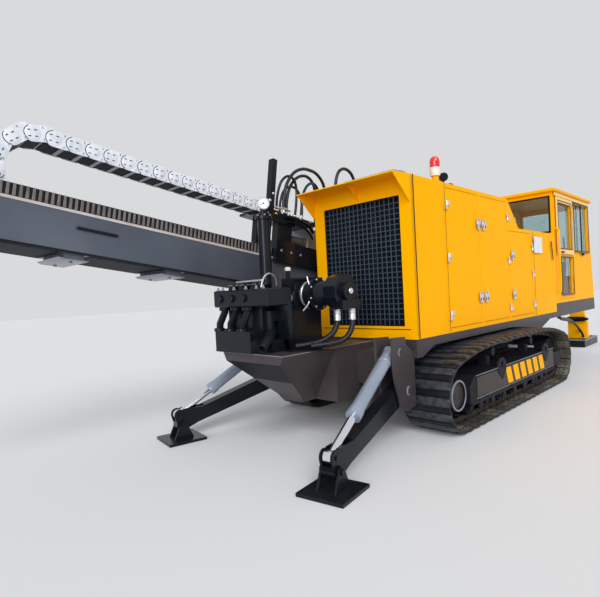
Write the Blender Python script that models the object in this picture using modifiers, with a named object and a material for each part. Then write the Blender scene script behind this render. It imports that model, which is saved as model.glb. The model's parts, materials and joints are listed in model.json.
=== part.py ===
"""Horizontal directional drill on crawler tracks.

Metres throughout. X runs from the engine end to the cab end, Y to the machine's left, Z up from the
ground. Stations in X are counted from the rear-most point of the tracks, and the whole machine hangs
on one empty that puts the middle of its length over the origin.
"""

import math

import bmesh
import bpy
from mathutils import Matrix, Vector

GAP = 0.0003
DOOR_GAP = 0.005

# Undercarriage
TRACK_LENGTH = 4.00
TRACK_END_RADIUS = 0.39
TRACK_LIFT = math.radians(17.0)
TRACK_MIDDLE_Y = 1.025
SHOE_WIDTH = 0.55
SHOE_COUNT = 52
SHOE_RIDGE = 0.020
SHOE_PLATE = 0.024
LINK_DEPTH = 0.066
LINK_WIDTH = 0.17
TRACK_BEAM_WIDTH = 0.44
TRACK_BEAM_BOTTOM = 0.24
TRACK_BEAM_TOP = 0.56
ROLLER_COUNT = 7
ROLLER_RADIUS = 0.072
CARRIER_RADIUS = 0.055
CARRIER_STATIONS = (1.44, 2.72)
LUG_STATIONS = (1.42, 2.95)
HUB_RADIUS = 0.165
HUB_FACE_Y = 1.21

# Chassis
DECK_LEFT_Y = 0.34
DECK_RIGHT_Y = -0.99
DECK_REAR_X = -0.03
DECK_BOTTOM = 0.93
DECK_TOP = 1.02
BEAM_Y = 0.30
BEAM_WIDTH = 0.16
BEAM_BOTTOM = 0.55
BELLY_HALF_WIDTH = 0.62
AXLE_STATIONS = (1.10, 2.90)

# Rear hull that carries the mud pump
HULL_REAR_X = -1.40
HULL_TOE_X = -0.92
HULL_FACET_FRONT_X = -0.68
HULL_FACET_LOW_Y = 0.18
HULL_HALF_WIDTH = 0.45
HULL_TOP = 0.998
HULL_BOTTOM = 0.50

# Engine housing
WALL = 0.04
TALL_TOP = 2.72
LEDGE_TOP = 2.33
SLOPE_START_X = 2.48
SLOPE_END_X = 2.86
HOUSING_FRONT_X = 4.43
SEAM_2 = 0.69
SEAM_3 = 1.57
SEAM_4 = 2.46
SEAM_5 = 3.38
DOOR_BOTTOM = 1.07
DOOR_TOP = 2.67
LOW_DOOR_TOP = 2.28
DOOR_POST = 0.024
KNUCKLE_RADIUS = 0.011
KNUCKLE_LENGTH = 0.05
HINGE_Y = DECK_RIGHT_Y - 0.013
GRILLE_BOTTOM = 1.154
GRILLE_TOP = 2.524
GRILLE_RIGHT_Y = -0.86
GRILLE_LEFT_Y = 0.19
HOOD_REACH = 0.30

# Cab
CAB_REAR_X = 4.44
CAB_FRONT_X = 6.56
CAB_LEAN = 0.13
CAB_BOTTOM = 1.16
CAB_TOP = 3.05
CAB_WALL = 0.05
ROOF_THICKNESS = 0.055
ROOF_OVERHANG = 0.06
CAB_DOOR_REAR_X = 4.50
CAB_DOOR_FRONT_X = 5.46
CAB_DOOR_BOTTOM = 1.22
CAB_DOOR_TOP = 2.98
SILL = 2.08
GLASS = 0.008

# Outriggers
LEG_SPLAY = math.radians(9.8)
LEG_PIVOT = (-0.236, 0.89, 0.532)
LEG_HALF_WIDTH = 0.062
LEG_TIP = (-1.334, -0.362)
LEG_ROD_PIN = (-1.36, -0.25)
LEG_BARREL_PIN = (-0.17, 0.405)
PIN_RADIUS = 0.03
EYE_PIN_RADIUS = 0.02
ROD_EYE_RADIUS = 0.052
LEG_EYE_PLAY = 0.0085
PAD_PIN_RADIUS = 0.025
PAD_SIZE = 0.42
PAD_THICKNESS = 0.03

# Mast, in its own frame: x along the mast, z square to it, from the tilt pivot
MAST_ANGLE = math.radians(9.0)
MAST_PIVOT_X = 2.60
MAST_PIVOT_Z = 1.289
MAST_MIDDLE_Y = 0.91
MAST_WIDTH = 0.62
MAST_REAR = -7.29
MAST_FRONT = 5.75
MAST_TOP = 0.225
MAST_BOTTOM = -0.150
MAST_PLATE = 0.022
MAST_CHANNEL = 0.105
RACK_WIDTH = 0.06
TRUNNION_RADIUS = 0.045
RACK_HEIGHT = 0.10

# Tilt cylinder on the mast's right side: foot (x, y, z) and upper pin (x, z)
TILT_FOOT = (0.55, 0.47, 0.75)
TILT_PIN = (0.35, 1.72)
TILT_EYE_PLAY = 0.0055

# Drag chain, in the mast's frame
CHAIN_RIGHT_Y = -0.240
CHAIN_WIDTH = 0.26
CHAIN_DEPTH = 0.14
CHAIN_LOWER_Z = MAST_CHANNEL + GAP + CHAIN_DEPTH / 2
CHAIN_UPPER_Z = 0.805
CHAIN_BEND_X = -5.73
CHAIN_FIXED_X = -1.90

# Carriage, in the mast's frame; the upper chain ends CHAIN_END_X from the carriage's middle
CARRIAGE_X = -2.60
CHAIN_END_X = -0.70
SKATE_CLEARANCE = 0.008
SPINDLE_Y = 0.155
SPINDLE_Z = 0.60

# Anchor foot at the mast's front end, level with the ground
ANCHOR_REAR_X = 7.70
ANCHOR_FRONT_X = 8.80
ANCHOR_RIGHT_Y = -0.56
ANCHOR_LEFT_Y = 1.30
ANCHOR_THICKNESS = 0.17

RIGHT, LEFT = -1, 1
SIDE_NAME = {RIGHT: "right", LEFT: "left"}

COLOURS = {
    "yellow": ((1.0, 0.47, 0.0), 0.35, 0.0),
    "black": ((0.012, 0.014, 0.018), 0.25, 0.0),
    "brown": ((0.070, 0.055, 0.055), 0.45, 0.0),
    "steel": ((0.035, 0.038, 0.042), 0.50, 0.6),
    "rack": ((0.060, 0.045, 0.038), 0.55, 0.7),
    "chrome": ((0.80, 0.82, 0.85), 0.12, 1.0),
    "chain": ((0.72, 0.74, 0.78), 0.30, 0.8),
    "grille": ((0.020, 0.030, 0.045), 0.50, 0.3),
    "glass": ((0.55, 0.68, 0.66), 0.05, 0.0),
    "rubber": ((0.020, 0.020, 0.022), 0.60, 0.0),
    "seat": ((0.030, 0.030, 0.034), 0.80, 0.0),
    "red": ((0.85, 0.02, 0.02), 0.20, 0.0),
    "grey": ((0.20, 0.22, 0.24), 0.45, 0.4),
}


def start_scene():
    """Empties the scene and returns one collection for the machine and one for the tools that shape it."""
    for old in list(bpy.data.objects):
        bpy.data.objects.remove(old, do_unlink=True)
    collections = []
    for name in ("directional_drill", "shaping_tools"):
        collection = bpy.data.collections.new(name)
        bpy.context.scene.collection.children.link(collection)
        collections.append(collection)
    return collections


PARTS, TOOLS = start_scene()


def make_material(name):
    colour, roughness, metallic = COLOURS[name]
    material = bpy.data.materials.new(name)
    material.use_nodes = True
    shader = material.node_tree.nodes["Principled BSDF"]
    shader.inputs["Base Color"].default_value = (*colour, 1.0)
    shader.inputs["Roughness"].default_value = roughness
    shader.inputs["Metallic"].default_value = metallic
    return material


MATERIALS = {name: make_material(name) for name in COLOURS}


def shape_from(mesh_data, name="shape"):
    """A working solid, kept in the tools' collection until it becomes a part."""
    solid = bpy.data.objects.new(name, mesh_data)
    solid.hide_render = True
    solid.display_type = "WIRE"
    TOOLS.objects.link(solid)
    return solid


def shape_from_bmesh(cage):
    mesh_data = bpy.data.meshes.new("shape")
    cage.to_mesh(mesh_data)
    cage.free()
    return shape_from(mesh_data)


def settle(solid):
    """Applies a working solid's modifiers, or turns its curve into a closed mesh."""
    bpy.context.view_layer.update()
    depsgraph = bpy.context.evaluated_depsgraph_get()
    mesh_data = bpy.data.meshes.new_from_object(solid.evaluated_get(depsgraph))
    if solid.type == "CURVE":
        cage = bmesh.new()
        cage.from_mesh(mesh_data)
        bmesh.ops.remove_doubles(cage, verts=cage.verts, dist=0.00001)
        bmesh.ops.recalc_face_normals(cage, faces=cage.faces)
        cage.to_mesh(mesh_data)
        cage.free()
    mesh_data.transform(solid.matrix_world)
    settled = shape_from(mesh_data)
    bpy.data.objects.remove(solid, do_unlink=True)
    return settled


def block(x_range, y_range, z_range):
    """A box between two stations on each axis."""
    cage = bmesh.new()
    bmesh.ops.create_cube(cage, size=1.0)
    spans = [sorted(span) for span in (x_range, y_range, z_range)]
    size = [high - low for low, high in spans]
    middle = [(high + low) / 2 for low, high in spans]
    bmesh.ops.transform(cage, matrix=Matrix.Diagonal((*size, 1.0)), verts=cage.verts)
    bmesh.ops.translate(cage, vec=middle, verts=cage.verts)
    return shape_from_bmesh(cage)


def bar(start, end, radius, end_radius=None, sides=20):
    """A round bar or cone from one point to another."""
    start, end = Vector(start), Vector(end)
    along = end - start
    cage = bmesh.new()
    bmesh.ops.create_cone(
        cage,
        cap_ends=True,
        segments=sides,
        radius1=radius,
        radius2=radius if end_radius is None else end_radius,
        depth=along.length,
    )
    turn = along.to_track_quat("Z", "Y").to_matrix().to_4x4()
    bmesh.ops.transform(cage, matrix=Matrix.Translation((start + end) / 2) @ turn, verts=cage.verts)
    return shape_from_bmesh(cage)


PLANES = {
    "XZ": Matrix(((1, 0, 0, 0), (0, 0, -1, 0), (0, 1, 0, 0), (0, 0, 0, 1))),
    "YZ": Matrix(((0, 0, 1, 0), (1, 0, 0, 0), (0, 1, 0, 0), (0, 0, 0, 1))),
    "XY": Matrix.Identity(4),
}


def plate(plane, outline, depth_range, holes=()):
    """A flat outline, with holes, given thickness square to its plane."""
    low, high = sorted(depth_range)
    curve = bpy.data.curves.new("outline", "CURVE")
    curve.dimensions = "2D"
    curve.fill_mode = "BOTH"
    curve.extrude = (high - low) / 2
    for loop in (outline, *holes):
        spline = curve.splines.new("POLY")
        spline.points.add(len(loop) - 1)
        for point, (across, up) in zip(spline.points, loop):
            point.co = (across, up, 0.0, 1.0)
        spline.use_cyclic_u = True
    solid = bpy.data.objects.new("outline", curve)
    TOOLS.objects.link(solid)
    middle = (low + high) / 2
    offset = -middle if plane == "XZ" else middle
    solid.matrix_world = PLANES[plane] @ Matrix.Translation((0, 0, offset))
    return settle(solid)


def rectangle(a_range, b_range):
    (a0, a1), (b0, b1) = sorted(a_range), sorted(b_range)
    return [(a0, b0), (a1, b0), (a1, b1), (a0, b1)]


def arc(centre, radius, start, end, steps):
    """Points on an arc, angles in degrees from the first axis."""
    points = []
    for step in range(steps + 1):
        angle = math.radians(start + (end - start) * step / steps)
        points.append((centre[0] + radius * math.cos(angle), centre[1] + radius * math.sin(angle)))
    return points


def ring_hole(centre, radius, steps=16):
    return arc(centre, radius, 0, 360 * (steps - 1) / steps, steps - 1)


HOLE_SIDES = 32


def running(radius):
    """The radius of a many-sided hole whose flats clear a pin of this radius by the running gap."""
    return (radius + GAP) / math.cos(math.pi / HOLE_SIDES)


def turned(profile, centre, axis, steps=28):
    """A profile of (radius, height) from top to bottom, turned round an axis through the centre."""
    mesh_data = bpy.data.meshes.new("profile")
    points = [(radius, 0.0, height) for radius, height in profile]
    mesh_data.from_pydata(points, [(i, i + 1) for i in range(len(points) - 1)], [])
    solid = shape_from(mesh_data)
    screw = solid.modifiers.new("turn", "SCREW")
    screw.steps = steps
    screw.render_steps = steps
    screw.use_merge_vertices = True
    screw.merge_threshold = 0.0001
    turn = Vector(axis).to_track_quat("Z", "Y").to_matrix().to_4x4()
    solid.matrix_world = Matrix.Translation(centre) @ turn
    return settle(solid)


def tube(points, radius, sides=2):
    """A bent tube along a list of points, with closed ends."""
    curve = bpy.data.curves.new("path", "CURVE")
    curve.dimensions = "3D"
    curve.bevel_depth = radius
    curve.bevel_resolution = sides
    curve.use_fill_caps = True
    spline = curve.splines.new("POLY")
    spline.points.add(len(points) - 1)
    for point, place in zip(spline.points, points):
        point.co = (*place, 1.0)
    solid = bpy.data.objects.new("path", curve)
    TOOLS.objects.link(solid)
    return settle(solid)


def smooth_path(points, steps=6):
    """A smooth curve through a few points (Catmull and Rom's rule)."""
    padded = [points[0], *points, points[-1]]
    path = []
    for before, a, b, after in zip(padded, padded[1:], padded[2:], padded[3:]):
        for step in range(steps):
            t = step / steps
            path.append(
                tuple(
                    0.5
                    * (
                        2 * a[i]
                        + (b[i] - before[i]) * t
                        + (2 * before[i] - 5 * a[i] + 4 * b[i] - after[i]) * t * t
                        + (3 * a[i] - before[i] - 3 * b[i] + after[i]) * t ** 3
                    )
                    for i in range(3)
                )
            )
    path.append(tuple(points[-1]))
    return path


def combine(solid, others, operation):
    """Joins or cuts a solid by others with Boolean modifiers, and applies them."""
    for other in others:
        boolean = solid.modifiers.new("combine", "BOOLEAN")
        boolean.operation = operation
        boolean.solver = "EXACT"
        boolean.object = other
    settled = settle(solid)
    for other in others:
        bpy.data.objects.remove(other, do_unlink=True)
    return settled


def fuse(solid, *others):
    return combine(solid, others, "UNION")


def cut(solid, *others):
    return combine(solid, others, "DIFFERENCE")


def moved(solid, matrix):
    solid.data.transform(matrix)
    if matrix.determinant() < 0:
        solid.data.flip_normals()
    return solid


def mirrored(solid):
    """The same solid on the other side of the middle plane."""
    return moved(solid, Matrix.Diagonal((1, -1, 1, 1)))


def soften(solid, width, segments=1):
    """Bevels the sharp edges of a solid."""
    bevel = solid.modifiers.new("edges", "BEVEL")
    bevel.width = width
    bevel.segments = segments
    bevel.limit_method = "ANGLE"
    bevel.angle_limit = math.radians(50)
    return settle(solid)


def part(name, solid, material, parent, smooth=True):
    """Names a finished solid, gives it its material and hangs it on its parent."""
    TOOLS.objects.unlink(solid)
    PARTS.objects.link(solid)
    solid.name = name
    solid.data.name = name
    solid.hide_render = False
    solid.display_type = "TEXTURED"
    solid.data.materials.clear()
    solid.data.materials.append(MATERIALS[material])
    solid.parent = parent
    if smooth:
        solid.data.shade_smooth()
        solid.data.set_sharp_from_angle(angle=math.radians(35))
    return solid


def hang(name, parent, location=(0, 0, 0), turn=(0, 0, 0)):
    """An empty on a joint's axis, or at a sub-assembly's own origin."""
    empty = bpy.data.objects.new(name, None)
    PARTS.objects.link(empty)
    empty.parent = parent
    empty.location = location
    empty.rotation_euler = turn
    return empty


def mast_rear_reach():
    """The rear-most station of the mast at rest, its lower rear corner."""
    return MAST_PIVOT_X + MAST_REAR * math.cos(MAST_ANGLE) + MAST_BOTTOM * math.sin(MAST_ANGLE)


MACHINE = hang("machine", None, (-(mast_rear_reach() + ANCHOR_FRONT_X) / 2, 0, 0))
MAST = hang("mast_pivot", MACHINE, (MAST_PIVOT_X, MAST_MIDDLE_Y, MAST_PIVOT_Z), (0, MAST_ANGLE, 0))
CARRIAGE = hang("carriage_origin", MAST, (CARRIAGE_X, 0, 0))


# Undercarriage


def track_line(steps=90):
    """The line through the ridges' tips as dense points: flat below, round at both ends, arched above.

    The upper run leaves each wheel at the lift angle and rises to the carrier rollers as a quartic.
    """
    radius, front = TRACK_END_RADIUS, TRACK_LENGTH - TRACK_END_RADIUS
    lift = math.degrees(TRACK_LIFT)
    line = [(front + (radius - front) * step / steps, 0.0) for step in range(steps)]
    line += arc((radius, radius), radius, 270, 90 + lift, steps)
    rear_x, low_z = line[-1]
    width = TRACK_LENGTH - 2 * rear_x
    rise = math.tan(TRACK_LIFT) * width / 8
    for step in range(1, steps):
        share = step / steps
        line.append((rear_x + width * share, low_z + rise * (1 - (2 * share - 1) ** 4)))
    return line + arc((front, radius), radius, 90 - lift, -90, steps)


def track_top(x):
    """The height of the upper run's ridges at a station."""
    rear_x = TRACK_END_RADIUS * (1 - math.sin(TRACK_LIFT))
    width = TRACK_LENGTH - 2 * rear_x
    rise = math.tan(TRACK_LIFT) * width / 8
    share = (x - rear_x) / width
    return TRACK_END_RADIUS * (1 + math.cos(TRACK_LIFT)) + rise * (1 - (2 * share - 1) ** 4)


def track_lap(line):
    """The distance along the line at each of its points."""
    distances = [0.0]
    for (x0, z0), (x1, z1) in zip(line, line[1:]):
        distances.append(distances[-1] + math.hypot(x1 - x0, z1 - z0))
    return distances


def track_outline(depth, points_per_shoe):
    """The track's loop at a depth below the ridges' tips.

    points_per_shoe lists (share of the pitch, extra depth); the loop is walked by its length, so that
    every shoe has the same pitch.
    """
    line = track_line()
    distances = track_lap(line)
    loop = []
    index = 0
    for shoe in range(SHOE_COUNT):
        for share, extra in points_per_shoe:
            distance = (shoe + share) / SHOE_COUNT * distances[-1]
            while distances[index + 1] < distance:
                index += 1
            (x0, z0), (x1, z1) = line[index], line[index + 1]
            length = distances[index + 1] - distances[index]
            along = (distance - distances[index]) / length
            inward = ((z1 - z0) / length, (x0 - x1) / length)
            x, z = x0 + (x1 - x0) * along, z0 + (z1 - z0) * along
            loop.append((x + inward[0] * (depth + extra), z + inward[1] * (depth + extra)))
    return loop


def track_ring(outer, inner, y_range):
    """A closed ring between two loops; each inner point answers for an equal run of outer points."""
    run = len(outer) // len(inner)
    cage = bmesh.new()
    sides = []
    for y in y_range:
        sides.append([[cage.verts.new((x, y, z)) for x, z in loop] for loop in (outer, inner)])
    for shoe in range(len(inner)):
        after = (shoe + 1) % len(inner)
        for outside, inside in sides:
            edge = [outside[(shoe * run + step) % len(outer)] for step in range(run + 1)]
            cage.faces.new([*edge, inside[after], inside[shoe]])
    for loop in (0, 1):
        near, far = sides[0][loop], sides[1][loop]
        for index in range(len(near)):
            after = (index + 1) % len(near)
            cage.faces.new([near[index], near[after], far[after], far[index]])
    bmesh.ops.recalc_face_normals(cage, faces=cage.faces)
    return shape_from_bmesh(cage)


def build_tracks():
    """Shoes with two ridges each, as one loop, with the row of links inside it; the left track mirrors
    the right."""
    shoe_depth = SHOE_RIDGE + SHOE_PLATE
    profile = [
        (0.00, SHOE_RIDGE + 0.010),
        (0.04, SHOE_RIDGE),
        (0.20, SHOE_RIDGE),
        (0.28, 0.0),
        (0.36, SHOE_RIDGE),
        (0.64, SHOE_RIDGE),
        (0.72, 0.0),
        (0.80, SHOE_RIDGE),
        (0.96, SHOE_RIDGE),
    ]
    middle = RIGHT * TRACK_MIDDLE_Y
    shoes = track_ring(
        track_outline(0.0, profile),
        track_outline(shoe_depth, [(0.0, 0.0)]),
        (middle - SHOE_WIDTH / 2, middle + SHOE_WIDTH / 2),
    )
    links = track_ring(
        track_outline(SHOE_RIDGE + SHOE_PLATE / 2, [(0.5, 0.0)]),
        track_outline(shoe_depth + LINK_DEPTH, [(0.5, 0.0)]),
        (middle - LINK_WIDTH / 2, middle + LINK_WIDTH / 2),
    )
    right = fuse(shoes, links)
    left = mirrored(shape_from(right.data.copy()))
    part("track_right", right, "steel", MACHINE)
    part("track_left", left, "steel", MACHINE)


def wheel_radius():
    """What a wheel inside the links can be: the links bridge the arc as chords, less the running gap."""
    radius = TRACK_END_RADIUS
    half_chord = track_lap(track_line())[-1] / SHOE_COUNT / radius / 2
    return (radius - SHOE_RIDGE - SHOE_PLATE - LINK_DEPTH) * math.cos(half_chord) - GAP


def track_wheels(side):
    """The drive wheel at the rear, with its hub, and the plain idler at the front."""
    middle = side * TRACK_MIDDLE_Y
    radius = wheel_radius()
    rear, front = TRACK_END_RADIUS, TRACK_LENGTH - TRACK_END_RADIUS
    inner_face = side * (TRACK_MIDDLE_Y - TRACK_BEAM_WIDTH / 2)
    outer_face = side * HUB_FACE_Y
    disc = bar((rear, middle - 0.045, rear), (rear, middle + 0.045, rear), radius, sides=36)
    hub = bar((rear, inner_face, rear), (rear, outer_face, rear), HUB_RADIUS, sides=28)
    recess = bar(
        (rear, outer_face - side * 0.03, rear),
        (rear, outer_face + side * 0.01, rear),
        HUB_RADIUS - 0.022,
        sides=28,
    )
    drive = cut(fuse(disc, hub), recess)
    rim = bar((front, middle - 0.075, rear), (front, middle + 0.075, rear), radius, sides=36)
    axle = bar((front, middle - 0.20, rear), (front, middle + 0.20, rear), 0.06, sides=16)
    return [drive, rim, axle]


def build_track_frame(side):
    """The side beam with its wheels, rollers and the two lifting lugs on its outer edge."""
    middle = side * TRACK_MIDDLE_Y
    near, far = middle - TRACK_BEAM_WIDTH / 2, middle + TRACK_BEAM_WIDTH / 2
    outer_y = far if side == LEFT else near
    wheel_centre = TRACK_END_RADIUS
    rear = wheel_centre + HUB_RADIUS + 0.02
    front = TRACK_LENGTH - wheel_centre - wheel_radius() - 0.02
    beam = plate(
        "XZ",
        [
            (rear, TRACK_BEAM_BOTTOM + 0.03),
            (rear + 0.06, TRACK_BEAM_BOTTOM),
            (front - 0.06, TRACK_BEAM_BOTTOM),
            (front, TRACK_BEAM_BOTTOM + 0.03),
            (front, TRACK_BEAM_TOP - 0.10),
            (front - 0.12, TRACK_BEAM_TOP),
            (rear + 0.12, TRACK_BEAM_TOP),
            (rear, TRACK_BEAM_TOP - 0.10),
        ],
        (near, far),
    )
    pieces = []
    link_top = SHOE_RIDGE + SHOE_PLATE + LINK_DEPTH + GAP
    pitch = (front - rear - 0.30) / (ROLLER_COUNT - 1)
    for index in range(ROLLER_COUNT):
        x = rear + 0.15 + index * pitch
        z = link_top + ROLLER_RADIUS
        pieces.append(bar((x, middle - 0.13, z), (x, middle + 0.13, z), ROLLER_RADIUS, sides=12))
        z_range = (z - 0.02, TRACK_BEAM_BOTTOM + 0.05)
        pieces.append(block((x - 0.045, x + 0.045), (middle - 0.16, middle + 0.16), z_range))
    for x in CARRIER_STATIONS:
        z = track_top(x) - link_top - CARRIER_RADIUS
        pieces.append(bar((x, middle - 0.12, z), (x, middle + 0.12, z), CARRIER_RADIUS, sides=12))
        pieces.append(block((x - 0.05, x + 0.05), (middle - 0.05, middle + 0.05), (TRACK_BEAM_TOP - 0.03, z)))
    for x in LUG_STATIONS:
        lug = plate(
            "XZ",
            [
                (x, 0.40),
                (x + 0.12, 0.50),
                (x + 0.12, 0.60),
                (x + 0.05, 0.66),
                (x - 0.05, 0.66),
                (x - 0.12, 0.60),
                (x - 0.12, 0.50),
            ],
            (outer_y - 0.012, outer_y + 0.012),
            [ring_hole((x, 0.59), 0.032, 12)],
        )
        pieces.append(lug)
    fork_near, fork_far = middle - 0.19, middle + 0.19
    for y in (fork_near, fork_far):
        pieces.append(
            block(
                (front - 0.05, TRACK_LENGTH - wheel_centre + 0.08),
                (y - 0.02, y + 0.02),
                (wheel_centre - 0.09, wheel_centre + 0.09),
            )
        )
    part(f"track_frame_{SIDE_NAME[side]}", fuse(beam, *pieces, *track_wheels(side)), "brown", MACHINE)


# Chassis


def build_chassis():
    """Deck, two long beams, belly box, two axles, the mast's cradle beam with its ears, and the lug of
    the tilt cylinder."""
    deck = block((DECK_REAR_X, CAB_FRONT_X), (DECK_RIGHT_Y, DECK_LEFT_Y), (DECK_BOTTOM, DECK_TOP - GAP))
    pieces = []
    for side in (RIGHT, LEFT):
        y = side * BEAM_Y
        pieces.append(
            plate(
                "XZ",
                [
                    (DECK_REAR_X + 0.06, BEAM_BOTTOM),
                    (5.2, BEAM_BOTTOM),
                    (6.3, DECK_BOTTOM - 0.08),
                    (6.3, DECK_BOTTOM + 0.01),
                    (DECK_REAR_X + 0.06, DECK_BOTTOM + 0.01),
                ],
                (y - BEAM_WIDTH / 2, y + BEAM_WIDTH / 2),
            )
        )
    pieces.append(block((0.80, 3.25), (-BELLY_HALF_WIDTH, BELLY_HALF_WIDTH), (0.33, BEAM_BOTTOM + 0.05)))
    frame_face = TRACK_MIDDLE_Y - TRACK_BEAM_WIDTH / 2 - GAP
    for x in AXLE_STATIONS:
        pieces.append(block((x - 0.2, x + 0.2), (-frame_face, frame_face), (0.30, TRACK_BEAM_TOP)))
    plinth = [
        (CAB_REAR_X + 0.01, DECK_BOTTOM + 0.002),
        (cab_front(DECK_BOTTOM) - 0.01, DECK_BOTTOM + 0.002),
        (cab_front(CAB_BOTTOM) - 0.01, CAB_BOTTOM - GAP),
        (CAB_REAR_X + 0.01, CAB_BOTTOM - GAP),
    ]
    pieces.append(plate("XZ", plinth, (DECK_RIGHT_Y + 0.001, DECK_LEFT_Y - 0.001)))
    pieces.append(
        plate(
            "XZ",
            [(DECK_REAR_X, 0.94), (DECK_REAR_X, 0.83), (0.08, 0.83), (0.36, 0.94)],
            (DECK_RIGHT_Y, DECK_RIGHT_Y + 0.04),
        )
    )
    mast_right = MAST_MIDDLE_Y - MAST_WIDTH / 2
    mast_left = MAST_MIDDLE_Y + MAST_WIDTH / 2
    ear_inner, ear_outer = SKATE_CLEARANCE, SKATE_CLEARANCE + 0.044
    cradle_top = DECK_BOTTOM + 0.035
    pieces.append(
        block(
            (MAST_PIVOT_X - 0.18, MAST_PIVOT_X + 0.18),
            (BEAM_Y - BEAM_WIDTH / 2, mast_left + ear_outer),
            (track_top(MAST_PIVOT_X) + 0.025, cradle_top),
        )
    )
    ear_outline = [(MAST_PIVOT_X - 0.17, cradle_top - 0.02), (MAST_PIVOT_X + 0.17, cradle_top - 0.02)]
    ear_outline += arc((MAST_PIVOT_X, MAST_PIVOT_Z), 0.09, 0, 180, 10)
    ear_hole = ring_hole((MAST_PIVOT_X, MAST_PIVOT_Z), running(TRUNNION_RADIUS), HOLE_SIDES)
    for y_range in (
        (mast_right - ear_outer, mast_right - ear_inner),
        (mast_left + ear_inner, mast_left + ear_outer),
    ):
        pieces.append(plate("XZ", ear_outline, y_range, [ear_hole]))
    x, y, z = TILT_FOOT
    pieces.append(block((x - 0.11, x + 0.11), (BEAM_Y, y + 0.076), (BEAM_BOTTOM + 0.01, BEAM_BOTTOM + 0.07)))
    lug_outline = [(x - 0.10, BEAM_BOTTOM + 0.02), (x + 0.10, BEAM_BOTTOM + 0.02)]
    lug_outline += arc((x, z), 0.055, 0, 180, 8)
    for y_range in ((y - 0.076, y - 0.056), (y + 0.056, y + 0.076)):
        pieces.append(plate("XZ", lug_outline, y_range))
    pieces.append(bar((x, y - 0.076, z), (x, y + 0.076, z), PIN_RADIUS, sides=14))
    part("chassis_frame", fuse(deck, *pieces), "brown", MACHINE)


def build_hull():
    """The bow-shaped platform behind the chassis that carries the pump.

    Its rear face leans in under the rim, and a facet on each side runs from the rim to the keel.
    """
    outline = [
        (HULL_REAR_X, HULL_TOP),
        (HULL_REAR_X, HULL_TOP - 0.09),
        (HULL_TOE_X, HULL_BOTTOM),
        (HULL_TOE_X + 0.04, HULL_BOTTOM - 0.06),
        (DECK_REAR_X - GAP, HULL_BOTTOM - 0.06),
        (DECK_REAR_X - GAP, HULL_TOP),
    ]
    hull = plate("XZ", outline, (-HULL_HALF_WIDTH, HULL_HALF_WIDTH))
    lean = (HULL_HALF_WIDTH - HULL_FACET_LOW_Y) / (HULL_TOP - HULL_BOTTOM)
    facets = []
    for side in (RIGHT, LEFT):
        wedge = [
            (side * HULL_HALF_WIDTH, HULL_TOP - 0.012),
            (side * (HULL_HALF_WIDTH - lean * (HULL_TOP - 0.3)), 0.3),
            (side * (HULL_HALF_WIDTH + 0.2), 0.3),
            (side * (HULL_HALF_WIDTH + 0.2), HULL_TOP - 0.012),
        ]
        facets.append(plate("YZ", wedge, (HULL_REAR_X - 0.1, HULL_FACET_FRONT_X)))
    part("rear_hull", cut(hull, *facets), "brown", MACHINE, smooth=False)


# Engine housing


def housing_profile(inset=0.0):
    """The housing from the side: tall part, slope and low part, or the same drawn in by a wall."""
    slope = math.atan2(TALL_TOP - LEDGE_TOP, SLOPE_END_X - SLOPE_START_X)
    shift = inset * math.tan(slope / 2)
    return [
        (DECK_REAR_X + inset, DECK_TOP),
        (HOUSING_FRONT_X - inset, DECK_TOP),
        (HOUSING_FRONT_X - inset, LEDGE_TOP - inset),
        (SLOPE_END_X - shift, LEDGE_TOP - inset),
        (SLOPE_START_X - shift, TALL_TOP - inset),
        (DECK_REAR_X + inset, TALL_TOP - inset),
    ]


DOORS = {
    # name: (rear seam, front seam, top, hinge at the front edge)
    "door_a": (SEAM_2, SEAM_3, DOOR_TOP, False),
    "door_b": (SEAM_3, SEAM_4, DOOR_TOP, True),
    "door_c": (SEAM_4, SEAM_5, LOW_DOOR_TOP, True),
}


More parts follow.
